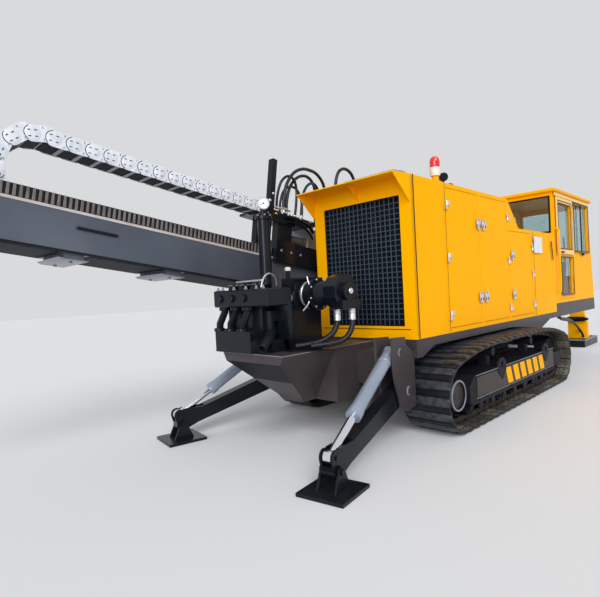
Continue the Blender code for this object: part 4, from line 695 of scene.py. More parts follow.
NODE_FINISHES = {
    "yellow_paint": (
        "housing_shell", "housing_right_frame", "housing_rear_frame", "door_a", "door_b", "door_c",
        "cab_body", "cab_roof", "cab_door", "anchor_drive",
    ),
    "black_paint": (
        "drill_vise", "anchor_plate", "anchor_ram", "carriage_slider", "hose_gantry", "mast_tilt_barrel",
        "outrigger_leg_left", "outrigger_leg_right", "outrigger_pad_left", "outrigger_pad_right",
        "pump_fluid_end", "pump_power_end", "pump_motor",
    ),
    "mast_paint_and_painted_reflection": ("mast_beam",),
    "blue_grey": ("outrigger_left_barrel", "outrigger_right_barrel"),
    "frame_black_and_hull_shade": ("track_frame_left", "track_frame_right"),
    "brown_paint": (
        "chassis_frame", "rear_hull", "outrigger_bracket_left", "outrigger_bracket_right",
    ),
    "track_steel": ("track_left", "track_right", "engine_block", "operator_console"),
    "chrome": ("outrigger_left_rod", "outrigger_right_rod", "mast_tilt_rod", "spindle"),
    "chain_zinc": ("drag_chain_lower", "drag_chain_upper"),
    "grey_metal_and_edge_highlight": ("rotary_head",),
    "dark_mesh": ("radiator_grille", "radiator"),
    "hose_rubber": ("pump_hose_1", "pump_hose_2"),
    "seat_cloth": ("operator_seat",),
    "red_lens": ("beacon",),
}


class DRILL_OT_finishes(bpy.types.Operator):
    """Mix the finishes and give each carried-over part its own"""

    bl_idname = "drill.finishes"
    bl_label = "Finishes"

    def execute(self, context):
        for name in FINISHES:
            MATERIALS[name] = make_finish(name)
        MATERIALS["tinted_glass"] = make_glass()
        for finish, names in NODE_FINISHES.items():
            for name in names:
                for slot in FRAME["nodes"][name].material_slots:
                    slot.material = MATERIALS[finish]
        for name, node in FRAME["nodes"].items():
            if "glass" in name:
                for slot in node.material_slots:
                    slot.material = MATERIALS["tinted_glass"]
        return {"FINISHED"}


# Tracks

# The same loop as the part's own track: its length, end radius, the lift of the upper run and its shoes
TRACK_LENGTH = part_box("track_right")[1].x - ORIGIN_X
TRACK_RADIUS = 0.39
TRACK_LIFT = math.radians(17.0)
TRACK_MIDDLE_Y = 1.025
SHOE_COUNT = 52
SHOE_WIDTH = 0.55
SHOE_DEPTH = 0.044
# How far from the machine's middle plane the side beams', the rollers' and the hubs' faces lie
BEAM_FACE_Y = TRACK_MIDDLE_Y + 0.22
ROLLER_FACE_Y = TRACK_MIDDLE_Y + 0.16
HUB_FACE_Y = 1.21
HUB_BOLT_CIRCLE = 0.105
ROLLER_Z = 0.182


def track_stations():
    """The middle of each shoe and its travel on the track's outer line, and the shoes' pitch.

    The line runs flat below, round both ends as arcs, and above as z0 + rise (1 - (2s - 1)^4).
    """
    radius, front, lift, steps = TRACK_RADIUS, TRACK_LENGTH - TRACK_RADIUS, math.degrees(TRACK_LIFT), 90
    flat = np.column_stack([np.linspace(front, radius, steps, endpoint=False), np.zeros(steps)])
    rear = np.array(arc((radius, radius), radius, 270, 90 + lift, steps))
    width = TRACK_LENGTH - 2 * rear[-1][0]
    share = np.arange(1, steps) / steps
    rise = math.tan(TRACK_LIFT) * width / 8 * (1 - (2 * share - 1) ** 4)
    upper = np.column_stack([rear[-1][0] + width * share, rear[-1][1] + rise])
    line = np.concatenate([flat, rear, upper, np.array(arc((front, radius), radius, 90 - lift, -90, steps))])
    distance = np.concatenate([[0], np.cumsum(np.linalg.norm(np.diff(line, axis=0), axis=1))])
    wanted = (np.arange(SHOE_COUNT) + 0.5) / SHOE_COUNT * distance[-1]

    def at(walked):
        return np.column_stack([np.interp(walked, distance, line[:, axis]) for axis in (0, 1)])

    travel = at(wanted + 0.02) - at(wanted - 0.02)
    travel /= np.linalg.norm(travel, axis=1, keepdims=True)
    return at(wanted), travel, distance[-1] / SHOE_COUNT


def frames_along(places, travel, way, y=0.0):
    """One frame for each place (x, z): its x axis is the travel (a, b), its z axis (-b, a) times the way."""
    frames = np.tile(np.eye(4), (len(places), 1, 1))
    (x, z), (along_x, along_z) = np.transpose(places), np.transpose(travel)
    frames[:, 0, 0], frames[:, 2, 0] = along_x, along_z
    frames[:, 0, 2], frames[:, 2, 2] = -way * along_z, way * along_x
    frames[:, 0, 3], frames[:, 1, 3], frames[:, 2, 3] = x, y, z
    return frames


def shoe_bar(x_range, reach, depth):
    """A raised bar across a shoe: its flat top narrows by a chamfer all round and slopes off at both ends."""
    (x0, x1), slope, chamfer = x_range, 0.045, 0.010
    rings = []
    for y, ends in ((-reach, True), (slope - reach, False), (reach - slope, False), (reach, True)):
        inset = 0.004 if ends else 0.0
        tip, shoulder = (depth - 0.006, depth - 0.006) if ends else (0.0, chamfer)
        left, right = x0 + inset, x1 - inset
        flat = [(left, depth), (right, depth), (right, shoulder), (right - chamfer, tip)]
        flat += [(left + chamfer, tip), (left, shoulder)]
        rings.append([(x, y, z) for x, z in flat])
    return surface(rings, wrap_v=True, capped=True)


class DRILL_OT_tracks(bpy.types.Operator):
    """Lay both tracks: shoes with scuffed bars, link plates with their pins, and the bolts that join them"""

    bl_idname = "drill.tracks"
    bl_label = "Tracks"

    def execute(self, context):
        half = SHOE_WIDTH / 2
        places, travel, pitch = track_stations()
        for word, side in SIDES.items():
            # x along the shoe's travel, y to the machine's left, z inwards from its tips
            frames = frames_along(places, travel, -1, side * TRACK_MIDDLE_Y)
            plate = [
                box((-0.49 * pitch, 0.004 - half, 0.020), (0.49 * pitch, half - 0.004, SHOE_DEPTH - 0.002), 0.004),
                box((0.24 * pitch, 0.02 - half, 0.012), (0.44 * pitch, half - 0.02, 0.024), 0.004),
            ]
            bar = shoe_bar((-0.36 * pitch, 0.14 * pitch), half - 0.001, 0.022)
            inner, depths = [], (SHOE_DEPTH - 0.004, SHOE_DEPTH + 0.002)
            for y in (-0.18, 0.18):
                near, far = ((way * 0.40 * pitch, y + way * 0.085, z) for way, z in zip((-1, 1), depths))
                inner.append(box(near, far, 0.001))
            link = [(-0.62, 0.070), (-0.50, 0.048), (0.34, 0.044), (0.44, 0.056)]
            link += [(0.44, 0.088), (0.30, 0.108), (-0.46, 0.108), (-0.62, 0.096)]
            outline = [(x * pitch, z) for x, z in link]
            links = [slab("XZ", outline, (y - 0.012, y + 0.012), 0.003) for y in (-0.075, 0.075)]
            links.append(bolt((-0.5 * pitch, -0.098, 0.084), (0, 0.196, 0), 0.020, 0.003, 12))
            for x in (-0.20, 0.16):
                for y in (-0.135, 0.135, 0.205, -0.205):
                    links.append(bolt((x * pitch, y, 0.040), (0, 0, 0.020), 0.011, 0.002))
            for name, shapes, finish, replaced in (
                ("plates", plate, "track_steel", [f"track_{word}"]),
                ("bars", [bar], "shoe_scuffed", ()),
                ("insides", inner, "shoe_inside", ()),
                ("links", links, "rack_steel", ()),
            ):
                laid = repeat(join(*shapes), frames)
                add_piece(f"track_{name}_{word}", laid, finish, replaces=replaced)
        return {"FINISHED"}


class DRILL_OT_track_frames(bpy.types.Operator):
    """Dress the side beams: tan panel with slanting stripes and painted edge highlights, hub rim with its bolts,
    and the rollers' caps
    """

    bl_idname = "drill.track_frames"
    bl_label = "Track frames"

    def execute(self, context):
        for word, side in SIDES.items():
            face = side * BEAM_FACE_Y
            out = face + side * 0.006
            hub = (TRACK_RADIUS, side * HUB_FACE_Y, TRACK_RADIUS)
            outward = (0, side, 0)
            outline = [(0.74, 0.31), (3.28, 0.31), (3.28, 0.53), (0.74, 0.53)]
            panel = slab("XZ", outline, (face - side * 0.002, out), 0.001)
            stripes = []
            for x in np.linspace(1.53, 2.66, 6):
                outline = [(x + 0.075, 0.320), (x + 0.225, 0.320), (x + 0.150, 0.520), (x, 0.520)]
                stripes.append(slab("XZ", outline, (out - side * 0.001, out + side * 0.002), 0.0005))
            # Thin light-grey bars along the panel's top and bottom edges: painted highlights on those edges
            edge_highlights = []
            for z0, z1 in ((0.548, 0.557), (0.296, 0.304)):
                edge_highlights.append(box((0.72, face, z0), (3.30, face + side * 0.012, z1), 0.002))
            ring = [(0.143, 0.0), (0.147, 0.004), (0.162, 0.004), (0.166, 0.0), (0.166, -0.012), (0.143, -0.012)]
            disc = [(0.140, -0.031), (0.140, -0.026), (0.060, -0.026), (0.052, -0.020), (0.010, -0.018)]
            cover = [lathe(disc, hub, outward, 40)]
            for place in round_about(np.add(hub, (0, -side * 0.032, 0)), HUB_BOLT_CIRCLE, 10, "XZ"):
                cover.append(bolt(place, (0, side * 0.014, 0), 0.012, 0.002))
            cap = [(0.050, 0.0), (0.050, 0.010), (0.040, 0.016), (0.018, 0.016), (0.016, 0.022), (0.006, 0.022)]
            caps = []
            for x in np.linspace(0.93, 2.92, 7):
                caps.append(lathe(cap, (x, side * ROLLER_FACE_Y, ROLLER_Z), outward, 20))
            for x in (0.80, 1.02, 1.70, 2.30, 3.10, 3.22):
                caps.append(bolt((x, face - side * 0.002, 0.275), (0, side * 0.012, 0), 0.013))
            for name, shape, finish in (
                ("side_panel", panel, "tan_panel"),
                ("side_stripes", stripes, "yellow_paint"),
                ("side_edge_highlights", edge_highlights, "grey_metal_and_edge_highlight"),
                ("hub_rim", lathe(ring, hub, outward, 48, ring=True), "grey_metal_and_edge_highlight"),
                ("hub_cover", cover, "tan_panel"),
                ("roller_caps", caps, "track_steel"),
            ):
                add_piece(f"{name}_{word}", shape, finish)
        return {"FINISHED"}


# Mast and drag chain

MAST_HALF = 0.31
MAST_REAR_X = -7.288
BEAM_BOTTOM_Z = -0.150
RACK_X = (-7.27, 4.82)
RACK_PITCH = 0.047
BRACKETS_X = (-5.40, -4.45)
CHAIN_Y = (-0.240, 0.020)
CHAIN_HALF = 0.07
CHAIN_LOWER_Z = 0.1753
CHAIN_UPPER_Z = 0.805
CHAIN_BEND_X = -5.73
CHAIN_UPPER_END_X = -3.30
CHAIN_FIXED_X = -1.90
CHAIN_PITCH = 0.162


class DRILL_OT_mast(bpy.types.Operator):
    """Cut the racks' teeth, lay the wear strips and weld on the mast's small bars and brackets"""

    bl_idname = "drill.mast"
    bl_label = "Mast trim"

    def execute(self, context):
        stations = [(x, 0, 0) for x in np.arange(*RACK_X, RACK_PITCH)]
        tooth = [(-0.013, 0.226), (0.013, 0.226), (0.010, 0.326), (-0.010, 0.326)]
        rear, half = MAST_REAR_X, MAST_HALF
        teeth, gaps, strips = [], [], []
        bars = [
            box((-5.42, -half - 0.022, 0.065), (-5.06, 0.001 - half, 0.088), 0.008),
            box((rear - 0.0005, -half - 0.004, -0.146), (-7.280, half + 0.004, 0.100), 0.003),
        ]
        for side in SIDES.values():
            depths = (side * (half - 0.0515), side * (half + 0.0035))
            teeth.append(repeat(slab("XZ", tooth, depths, 0.0015), shifts(stations)))
            strips.append(box((rear, side * half, 0.197), (4.86, side * (half + 0.006), 0.222), 0.002))
            gaps.append(box((rear, side * half, 0.2235), (4.85, side * (half + 0.001), 0.322), 0.0004))
            bars.append(box((-7.28, side * half, BEAM_BOTTOM_Z), (5.74, side * (half + 0.004), -0.128), 0.0015))
        # Dark plates on the beam's underside from seam to seam, apart from where the brackets are: painted shade
        # under the beam
        runs = [(-7.285, -6.9), (-6.9, -6.4), (-6.4, -5.9), (-5.9, -5.52), (-5.28, -4.9), (-4.9, -4.57)]
        runs += [(-4.33, -3.9), (-3.9, -3.4), (-3.4, -2.9), (-2.9, -2.4), (-2.4, -1.9), (-1.9, -1.4)]
        plates = [
            box((start + 0.001, 0.012 - half, -0.154), (end - 0.001, half - 0.012, BEAM_BOTTOM_Z - 0.0001), 0.0015)
            for start, end in runs
        ]
        brackets = []
        for x in BRACKETS_X:
            outline = [(x - 0.13, -0.19), (x + 0.13, -0.19), (x + 0.10, -0.206), (x - 0.10, -0.206)]
            brackets.append(slab("XZ", outline, (0.02 - half, half - 0.02), 0.002))
            for y in (-0.20, 0.20):
                brackets.append(bolt((x, y, -0.218), (0, 0, 0.018), 0.016))
        for name, shapes, finish in (
            ("rack_teeth", teeth, "rack_tooth"),
            ("rack_gaps", gaps, "black_paint"),
            ("wear_strips", strips, "wear_strip"),
            ("mast_bars", bars, "black_paint"),
            ("mast_underside_shade", plates, "shade_and_mark_black"),
            ("mast_brackets", brackets, "grey_metal_and_edge_highlight"),
        ):
            add_piece(name, shapes, finish, "mast", MAST)
        return {"FINISHED"}


def chain_link(pitch):
    """One link at its own origin, in x along the chain: its side plates with their discs, the slots and rivets on
    them, the dark covers between them, which are painted shade for the chain's dim inside, and the crossbars that
    hold them."""
    half, neck = CHAIN_HALF, CHAIN_HALF * 0.80
    # The four slots' distance from the disc's middle, and half their length and width
    spread, long, wide = 0.026, 0.011, 0.004
    outline = [(0.0, -half), (pitch * 0.62, -half), (pitch * 1.05, -neck), (pitch * 1.05, neck)]
    outline += [(pitch * 0.62, half), (0.0, half), *arc((0.0, 0.0), half, 90, 270, 12)[1:-1]]
    disc = [(0.061, 0.0), (0.061, 0.0015), (0.059, 0.0025), (0.010, 0.0025)]
    plates, marks = [], []
    for y, out in zip(CHAIN_Y, (-1, 1)):
        inset = y - out * 0.004
        plates.append(slab("XZ", outline, (y - out * 0.014, inset), 0.002))
        plates.append(lathe(disc, (0.0, inset, 0.0), (0, out, 0), 28))
        for x, z in ((-spread, -spread), (spread, -spread), (-spread, spread), (spread, spread)):
            slot = [(x - long, z - wide), (x + long, z - wide), (x + long, z + wide), (x - long, z + wide)]
            marks.append(slab("XZ", slot, (y, inset), 0.0004))
        for z in (-0.055, -0.045, 0.045, 0.055):
            marks.append(rod((pitch * 0.52, inset, z), (pitch * 0.52, y, z), 0.0035, 0.001, 6))
    low, high = CHAIN_Y[0] + 0.016, CHAIN_Y[1] - 0.016
    covers, bars = [], []
    for way in (-1, 1):
        outer, edge, inner = way * (half - 0.001), way * (half - 0.006), way * (half - 0.012)
        # The near-black covers are painted shade, where the chain's inside lies in shade
        covers.append(box((-0.44 * pitch, low, edge), (0.40 * pitch, high, inner), 0.001))
        bars.append(box((0.36 * pitch, low - 0.004, outer), (0.58 * pitch, high + 0.004, inner), 0.002))
    return plates, marks, covers, bars


def chain_frames_straight(start, end, z):
    """Frames at even pitch along a straight run."""
    count = round((end - start) / CHAIN_PITCH)
    pitch = (end - start) / count
    stations = start + (np.arange(count) + 0.5) * pitch
    return shifts(np.column_stack([stations, np.zeros(count), np.full(count, z)])), pitch


def chain_frames_bend():
    """Frames round the half circle at the rear, x along the chain from the lower run to the upper one."""
    radius = (CHAIN_UPPER_Z - CHAIN_LOWER_Z) / 2
    middle = (CHAIN_BEND_X, (CHAIN_UPPER_Z + CHAIN_LOWER_Z) / 2)
    count = round(math.pi * radius / CHAIN_PITCH)
    angle = -np.pi / 2 - (np.arange(count) + 0.5) * np.pi / count
    out = np.column_stack([np.cos(angle), np.sin(angle)])
    return frames_along(middle + radius * out, np.column_stack([out[:, 1], -out[:, 0]]), 1)


class DRILL_OT_drag_chain(bpy.types.Operator):
    """Link the drag chain: silver side plates and discs, dark covers of painted shade, and crossbars"""

    bl_idname = "drill.drag_chain"
    bl_label = "Drag chain"

    def execute(self, context):
        lower, lower_pitch = chain_frames_straight(CHAIN_BEND_X, CHAIN_FIXED_X, CHAIN_LOWER_Z)
        upper, upper_pitch = chain_frames_straight(CHAIN_BEND_X + 0.0003, CHAIN_UPPER_END_X, CHAIN_UPPER_Z)
        lower = np.concatenate([lower, chain_frames_bend()])
        names = ("plates", "marks", "covers", "bars")
        finishes = ("chain_zinc", "black_paint", "shade_and_mark_black", "grey_metal_and_edge_highlight")
        for run, frames, pitch, body in (
            ("lower", lower, lower_pitch, "mast"),
            ("upper", upper, upper_pitch, None),
        ):
            for name, finish, shapes in zip(names, finishes, chain_link(pitch)):
                laid = repeat(join(*shapes), frames)
                replaced = [f"drag_chain_{run}"] if name == "plates" else ()
                piece = add_piece(f"chain_{name}_{run}", laid, finish, body, MAST, replaced)
                if body is None:
                    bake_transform(piece)
        return {"FINISHED"}


# Radiator grille

GRILLE_EDGE = 0.016
GRILLE_COUNTS = (17, 24)
GRILLE_FINER = 3


def weave(low, high, counts, half, x_range, laps, bevel):
    """Flat wires both ways across an opening. The level ones start behind the upright ones' front by the first
    lap, and the upright ones end before the level ones' back by the second."""
    (x0, x1), seat = x_range, 0.002
    ys, zs = (np.linspace(low[i + 1], high[i + 1], counts[i] + 1)[1:-1] for i in (0, 1))
    upright = box((x0, -half, low[2] - seat), (x1 - laps[1], half, high[2] + seat), bevel)
    level = box((x0 + laps[0], low[1] - seat, -half), (x1, high[1] + seat, half), bevel)
    return join(repeat(upright, shifts([(0, y, 0) for y in ys])), repeat(level, shifts([(0, 0, z) for z in zs])))


class DRILL_OT_grille(bpy.types.Operator):
    """Weave the grille: a fine mesh of flat wires in a thin frame, over stronger bars"""

    bl_idname = "drill.grille"
    bl_label = "Radiator grille"

    def execute(self, context):
        low, high = (np.array(corner) - (ORIGIN_X, 0, 0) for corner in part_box("radiator_grille"))
        inner = low + GRILLE_EDGE, high - GRILLE_EDGE
        depths = (low[0] + 0.001, high[0] - 0.006)
        mesh = weave(*inner, GRILLE_COUNTS, 0.0052, depths, (0.003, 0.004), 0.001)
        add_piece("grille_mesh", mesh, "mesh_wire", replaces=["radiator_grille"])
        depths = (high[0] - 0.0045, high[0] - 0.0005)
        counts = [GRILLE_FINER * count for count in GRILLE_COUNTS]
        fine = weave(*inner, counts, 0.002, depths, (0.002, 0.002), 0.0005)
        add_piece("grille_fine_mesh", fine, "dark_mesh")
        frame = rim(low, high, GRILLE_EDGE, (1, 2), 0.002)
        bottom, top, front = inner[0][2], inner[1][2], high[0]
        for y in np.linspace(low[1], high[1], 4)[1:-1]:
            frame.append(box((front - 0.007, y - 0.010, bottom), (front, y + 0.010, top), 0.002))
        add_piece("grille_frame", frame, "dark_mesh")
        return {"FINISHED"}


# Housing and cab

LATCH_LOWER_Z = 1.39
LATCHES = (
    # door, x, z of the upper one
    ("a", 1.495, 2.30),
    ("b", 1.648, 2.30),
    ("c", 2.555, 1.94),
)
HINGE_RADIUS = 0.0125
HINGE_HALF = 0.052
REAR_FACE_X = -0.029
CORNER_BOLTS_Z = (1.12, 1.45, 1.78, 2.11, 2.44, 2.64)
SILL_BOLTS_X = (0.85, 1.35, 1.85, 2.35, 2.95, 3.60, 4.10)
BEACON_X = 0.62
LAMPS_Y = -0.93
# The windscreen leans back by this much over this height, from the middle of its top
SCREEN_LEAN = (0.13, 1.89)
SCREEN_TOP = (6.56, 0, 3.05)


def on_face(x_range, depths, z_range):
    """A box's two corners, with their depths counted out of the machine's right face."""
    return [(x, DECK_RIGHT_Y - depth, z) for x, depth, z in zip(x_range, depths, z_range)]


def face_box(x_range, depths, z_range, bevel=0.003):
    """A box on the machine's right face, between two depths out of it."""
    return box(*on_face(x_range, depths, z_range), bevel)


def face_rim(x_range, z_range, width, depths=(-0.002, 0.0055)):
    """Four bars round an opening in the machine's right face."""
    return rim(*on_face(x_range, depths, z_range), width)


def latch(x, z):
    """A flush latch: a rounded plate with a raised paddle and a key boss, and its dark recesses."""
    y = DECK_RIGHT_Y
    outline = arc((x, z + 0.012), 0.058, 0, 180, 14) + arc((x, z - 0.012), 0.058, 180, 360, 14)
    boss = [(0.011, 0.0), (0.011, 0.0008), (0.008, 0.0018)]
    plate = [
        slab("XZ", outline, (y, y - 0.003), 0.0010),
        face_box((x - 0.040, x + 0.040), (0.002, 0.0048), (z + 0.004, z + 0.030), 0.0018),
        face_box((x - 0.012, x + 0.012), (0.002, 0.0048), (z - 0.052, z + 0.004), 0.0018),
    ]
    recess = [lathe(boss, (x, y - 0.0028, z + 0.050), (0, -1, 0), 16)]
    for near, far in ((-0.044, -0.018), (0.018, 0.044)):
        recess.append(face_box((x + near, x + far), (0.002, 0.0034), (z - 0.044, z - 0.006), 0.0008))
    return plate, recess


def hinges(name):
    """Three hinges of a housing door: the leaves and knuckles that stay, and those that swing."""
    low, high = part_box(name)
    pin = Vector(JOINTS[f"{name}_hinge"]["pos_m"])
    away = 1 if (low.x + high.x) / 2 > pin.x else -1
    x, y, halves = pin.x - ORIGIN_X, pin.y, {-1: [], 1: []}
    for z in (low.z + 0.14, (low.z + high.z) / 2, high.z - 0.20):
        for way, shapes in halves.items():
            shapes.append(rod((x, y, z + way * 0.0015), (x, y, z + way * HINGE_HALF), HINGE_RADIUS, 0.001, 16))
            leaf = (x, x + way * away * HINGE_HALF)
            shapes.append(face_box(leaf, (0.003, 0.0), (z + way * 0.002, z + way * 0.050), 0.001))
    return halves[-1], halves[1]


class DRILL_OT_housing(bpy.types.Operator):
    """Fit the housing: latches on its doors, bolts along its seams, a roof panel with a dome, plate and slot"""

    bl_idname = "drill.housing"
    bl_label = "Housing trim"

    def execute(self, context):
        y = DECK_RIGHT_Y
        for door, x, upper_z in LATCHES:
            for word, z in (("upper", upper_z), ("lower", LATCH_LOWER_Z)):
                plate, recess = latch(x, z)
                add_piece(f"latch_{door}_{word}", plate, "bright_steel", f"door_{door}_leaf")
                add_piece(f"latch_{door}_{word}_recess", recess, "black_paint", f"door_{door}_leaf")
        for name in ("door_a", "door_b", "door_c"):
            fixed, moving = hinges(name)
            add_piece(f"hinge_fixed_{name}", fixed, "bright_steel")
            add_piece(f"hinge_moving_{name}", moving, "bright_steel", f"{name}_leaf")
        bolts = []
        for z in CORNER_BOLTS_Z:
            bolts.append(bolt((0.10, y + 0.001, z), (0, -0.007, 0), 0.010, 0.002))
        for along in np.linspace(-0.90, 0.26, 6):
            for z in (2.60, 1.075):
                bolts.append(bolt((REAR_FACE_X, along, z), (-0.007, 0, 0), 0.009, 0.002))
        for x in SILL_BOLTS_X:
            bolts.append(bolt((x, y + 0.001, 1.045), (0, -0.006, 0), 0.008, 0.002))
        add_piece("housing_bolts", bolts, "yellow_paint")
        lines = [
            box((x0, y - 0.0008, 1.03), (x1, y + 0.001, z1), 0.0003)
            for x0, x1, z1 in ((3.378, 3.384, 2.325), (0.652, 0.658, 2.715), (-0.010, 0.008, 2.715))
        ]
        slot = [(4.190, 2.20), (4.230, 2.20), (4.288, 1.89), (4.248, 1.89)]
        lines.append(slab("XZ", slot, (y - 0.002, y + 0.001), 0.0006))
        lines.append(box((REAR_FACE_X - 0.005, -0.93, 1.118), (REAR_FACE_X, 0.27, 1.126), 0.001))
        add_piece("housing_lines", lines, "shade_and_mark_black")
        plate = face_box((3.40, 3.75), (0.003, 0.0), (1.99, 2.24), 0.0012)
        add_piece("blank_plate", plate, "chain_zinc")
        dome = [(0.17, 0.0), (0.17, 0.012), (0.15, 0.026), (0.08, 0.036), (0.01, 0.038)]
        cover = box((0.06, -0.76, ROOF_Z), (0.56, -0.02, 2.832), 0.018)
        add_piece("roof_panel", [cover, lathe(dome, (0.30, -0.56, 2.830), steps=40)], "grey_metal_and_edge_highlight")
        outlet = [(0.075, 0.0), (0.075, 0.012), (0.052, 0.016), (0.052, 0.16), (0.046, 0.16), (0.044, 0.020)]
        add_piece("exhaust_stub", lathe(outlet, (1.95, 0.02, ROOF_Z)), "black_paint")
        rib = [(0.0545, -0.004), (0.0570, -0.001), (0.0570, 0.001), (0.0545, 0.004)]
        collar = [(0.0505, 0.070), (0.0535, 0.078), (0.0585, 0.112), (0.0590, 0.160), (0.0560, 0.166)]
        neck = [(0.052, 0.0), (0.052, 0.011), (0.0365, 0.014), (0.0365, 0.064)]
        x, y = BEACON_X, LAMPS_Y
        ribs = [lathe(rib, (x, y, ROOF_Z + height), steps=28) for height in np.arange(0.180, 0.245, 0.018)]
        add_piece("beacon_ribs", ribs, "red_lens")
        add_piece("beacon_base", lathe(collar, (x, y, ROOF_Z), steps=28), "cream_plastic")
        add_piece("beacon_neck", lathe(neck, (x, y, ROOF_Z), steps=28), "yellow_paint")
        lamp = [
            rod((0.80, y, ROOF_Z), (0.80, y, 2.775), 0.010, 0.002, 10),
            rod((0.775, y - 0.025, 2.800), (0.825, y + 0.025, 2.812), 0.050, 0.006, 24),
            box((0.93, y - 0.025, ROOF_Z), (1.00, y + 0.025, 2.752), 0.008),
        ]
        add_piece("roof_lamp", lamp, "black_paint")
        return {"FINISHED"}


class DRILL_OT_cab(bpy.types.Operator):
    """Trim the cab: black window rubbers, sliding-pane bars, door handle, lamps under the roof, pale door frame"""

    bl_idname = "drill.cab"
    bl_label = "Cab trim"

    def execute(self, context):
        y, left = DECK_RIGHT_Y, DECK_LEFT_Y
        rubbers = [
            *face_rim((5.515, 6.495), (2.055, 2.985), 0.032, (-0.002, 0.006)),
            box((5.985, y - 0.004, 2.087), (6.010, y + 0.018, 2.953), 0.003),
            *rim((4.43, -0.95, 2.36), (4.4405, 0.27, 2.99), 0.03, (1, 2)),
            *rim((4.56, left - 0.002, 2.05), (6.44, left + 0.006, 2.99), 0.03),
            box((5.48, left - 0.002, 2.08), (5.51, left + 0.006, 2.96), 0.003),
        ]
        add_piece("window_rubbers", rubbers, "black_paint")
        front = Matrix.Translation(SCREEN_TOP) @ Matrix.Rotation(-math.atan2(*SCREEN_LEAN), 4, "Y")
        screen = [
            *rim((-0.002, -0.94, -1.46), (0.006, 0.28, -0.06), 0.03, (2, 1)),
            bolt((0.004, -0.33, -1.50), (0.026, 0, 0), 0.022, 0.004, 16),
            tube([(0.028, -0.33, -1.50), (0.034, -0.45, -1.20), (0.030, -0.52, -0.95)], 0.007, 8),
            box((0.016, -0.535, -1.28), (0.026, -0.505, -0.62), 0.003),
        ]
        add_piece("windscreen_rubber", screen, "black_paint", frame=MACHINE @ front)
        pale = face_rim((4.515, 5.450), (2.00, 2.975), 0.085, (-0.001, 0.0035))
        add_piece("door_pale_frame", pale, "pale_yellow", "cab_door_leaf")
        band = face_box((4.445, 6.565), (0.0025, -0.001), (2.985, 3.045), 0.001)
        add_piece("roof_pale_band", band, "pale_yellow")
        # x and distance out of the face
        grip = [(x, y - out, 2.032) for x, out in ((4.73, 0.006), (4.735, 0.030), (4.78, 0.036), (4.82, 0.030))]
        handle = [face_box((4.71, 4.84), (0.010, 0.0035), (2.015, 2.050)), pipe(grip, 0.008)]
        add_piece("door_handle", handle, "black_paint", "cab_door_leaf")
        gaskets = face_rim((4.605, 5.405), (2.080, 2.930), 0.022) + face_rim((4.685, 5.405), (1.280, 1.960), 0.022)
        add_piece("door_gaskets", gaskets, "black_paint", "cab_door_leaf")
        rail = [(6.585, 1.99), (6.640, 1.97), (6.652, 1.86), (6.640, 1.75), (6.600, 1.73)]
        knobs = [
            face_box((5.93, 6.11), (0.004, 0.0), (2.000, 2.040), 0.0015),
            bolt((6.02, y, 2.02), (0, -0.030, 0), 0.022, 0.006, 20),
            pipe([(x, y + 0.05, z) for x, z in rail], 0.011),
        ]
        add_piece("cab_knobs", knobs, "black_paint")
        covers = [face_box((5.392, 5.446), (0.012, 0.002), heights) for heights in ((2.66, 2.84), (1.50, 1.62))]
        add_piece("hinge_covers", covers, "yellow_paint", "cab_door_leaf")
        lamps, glasses = [], []
        for lamp_y in (-0.88, 0.23):
            lamps.append(box((6.575, lamp_y - 0.075, 2.955), (6.612, lamp_y + 0.075, 3.045), 0.010))
            glasses.append(box((6.610, lamp_y - 0.062, 2.966), (6.616, lamp_y + 0.062, 3.034), 0.003))
        add_piece("front_lamps", lamps, "black_paint")
        add_piece("front_lamp_glass", glasses, "white_enamel")
        return {"FINISHED"}


# Cords: the pump's routes and the roof's and anchor's points are in the machine's frame

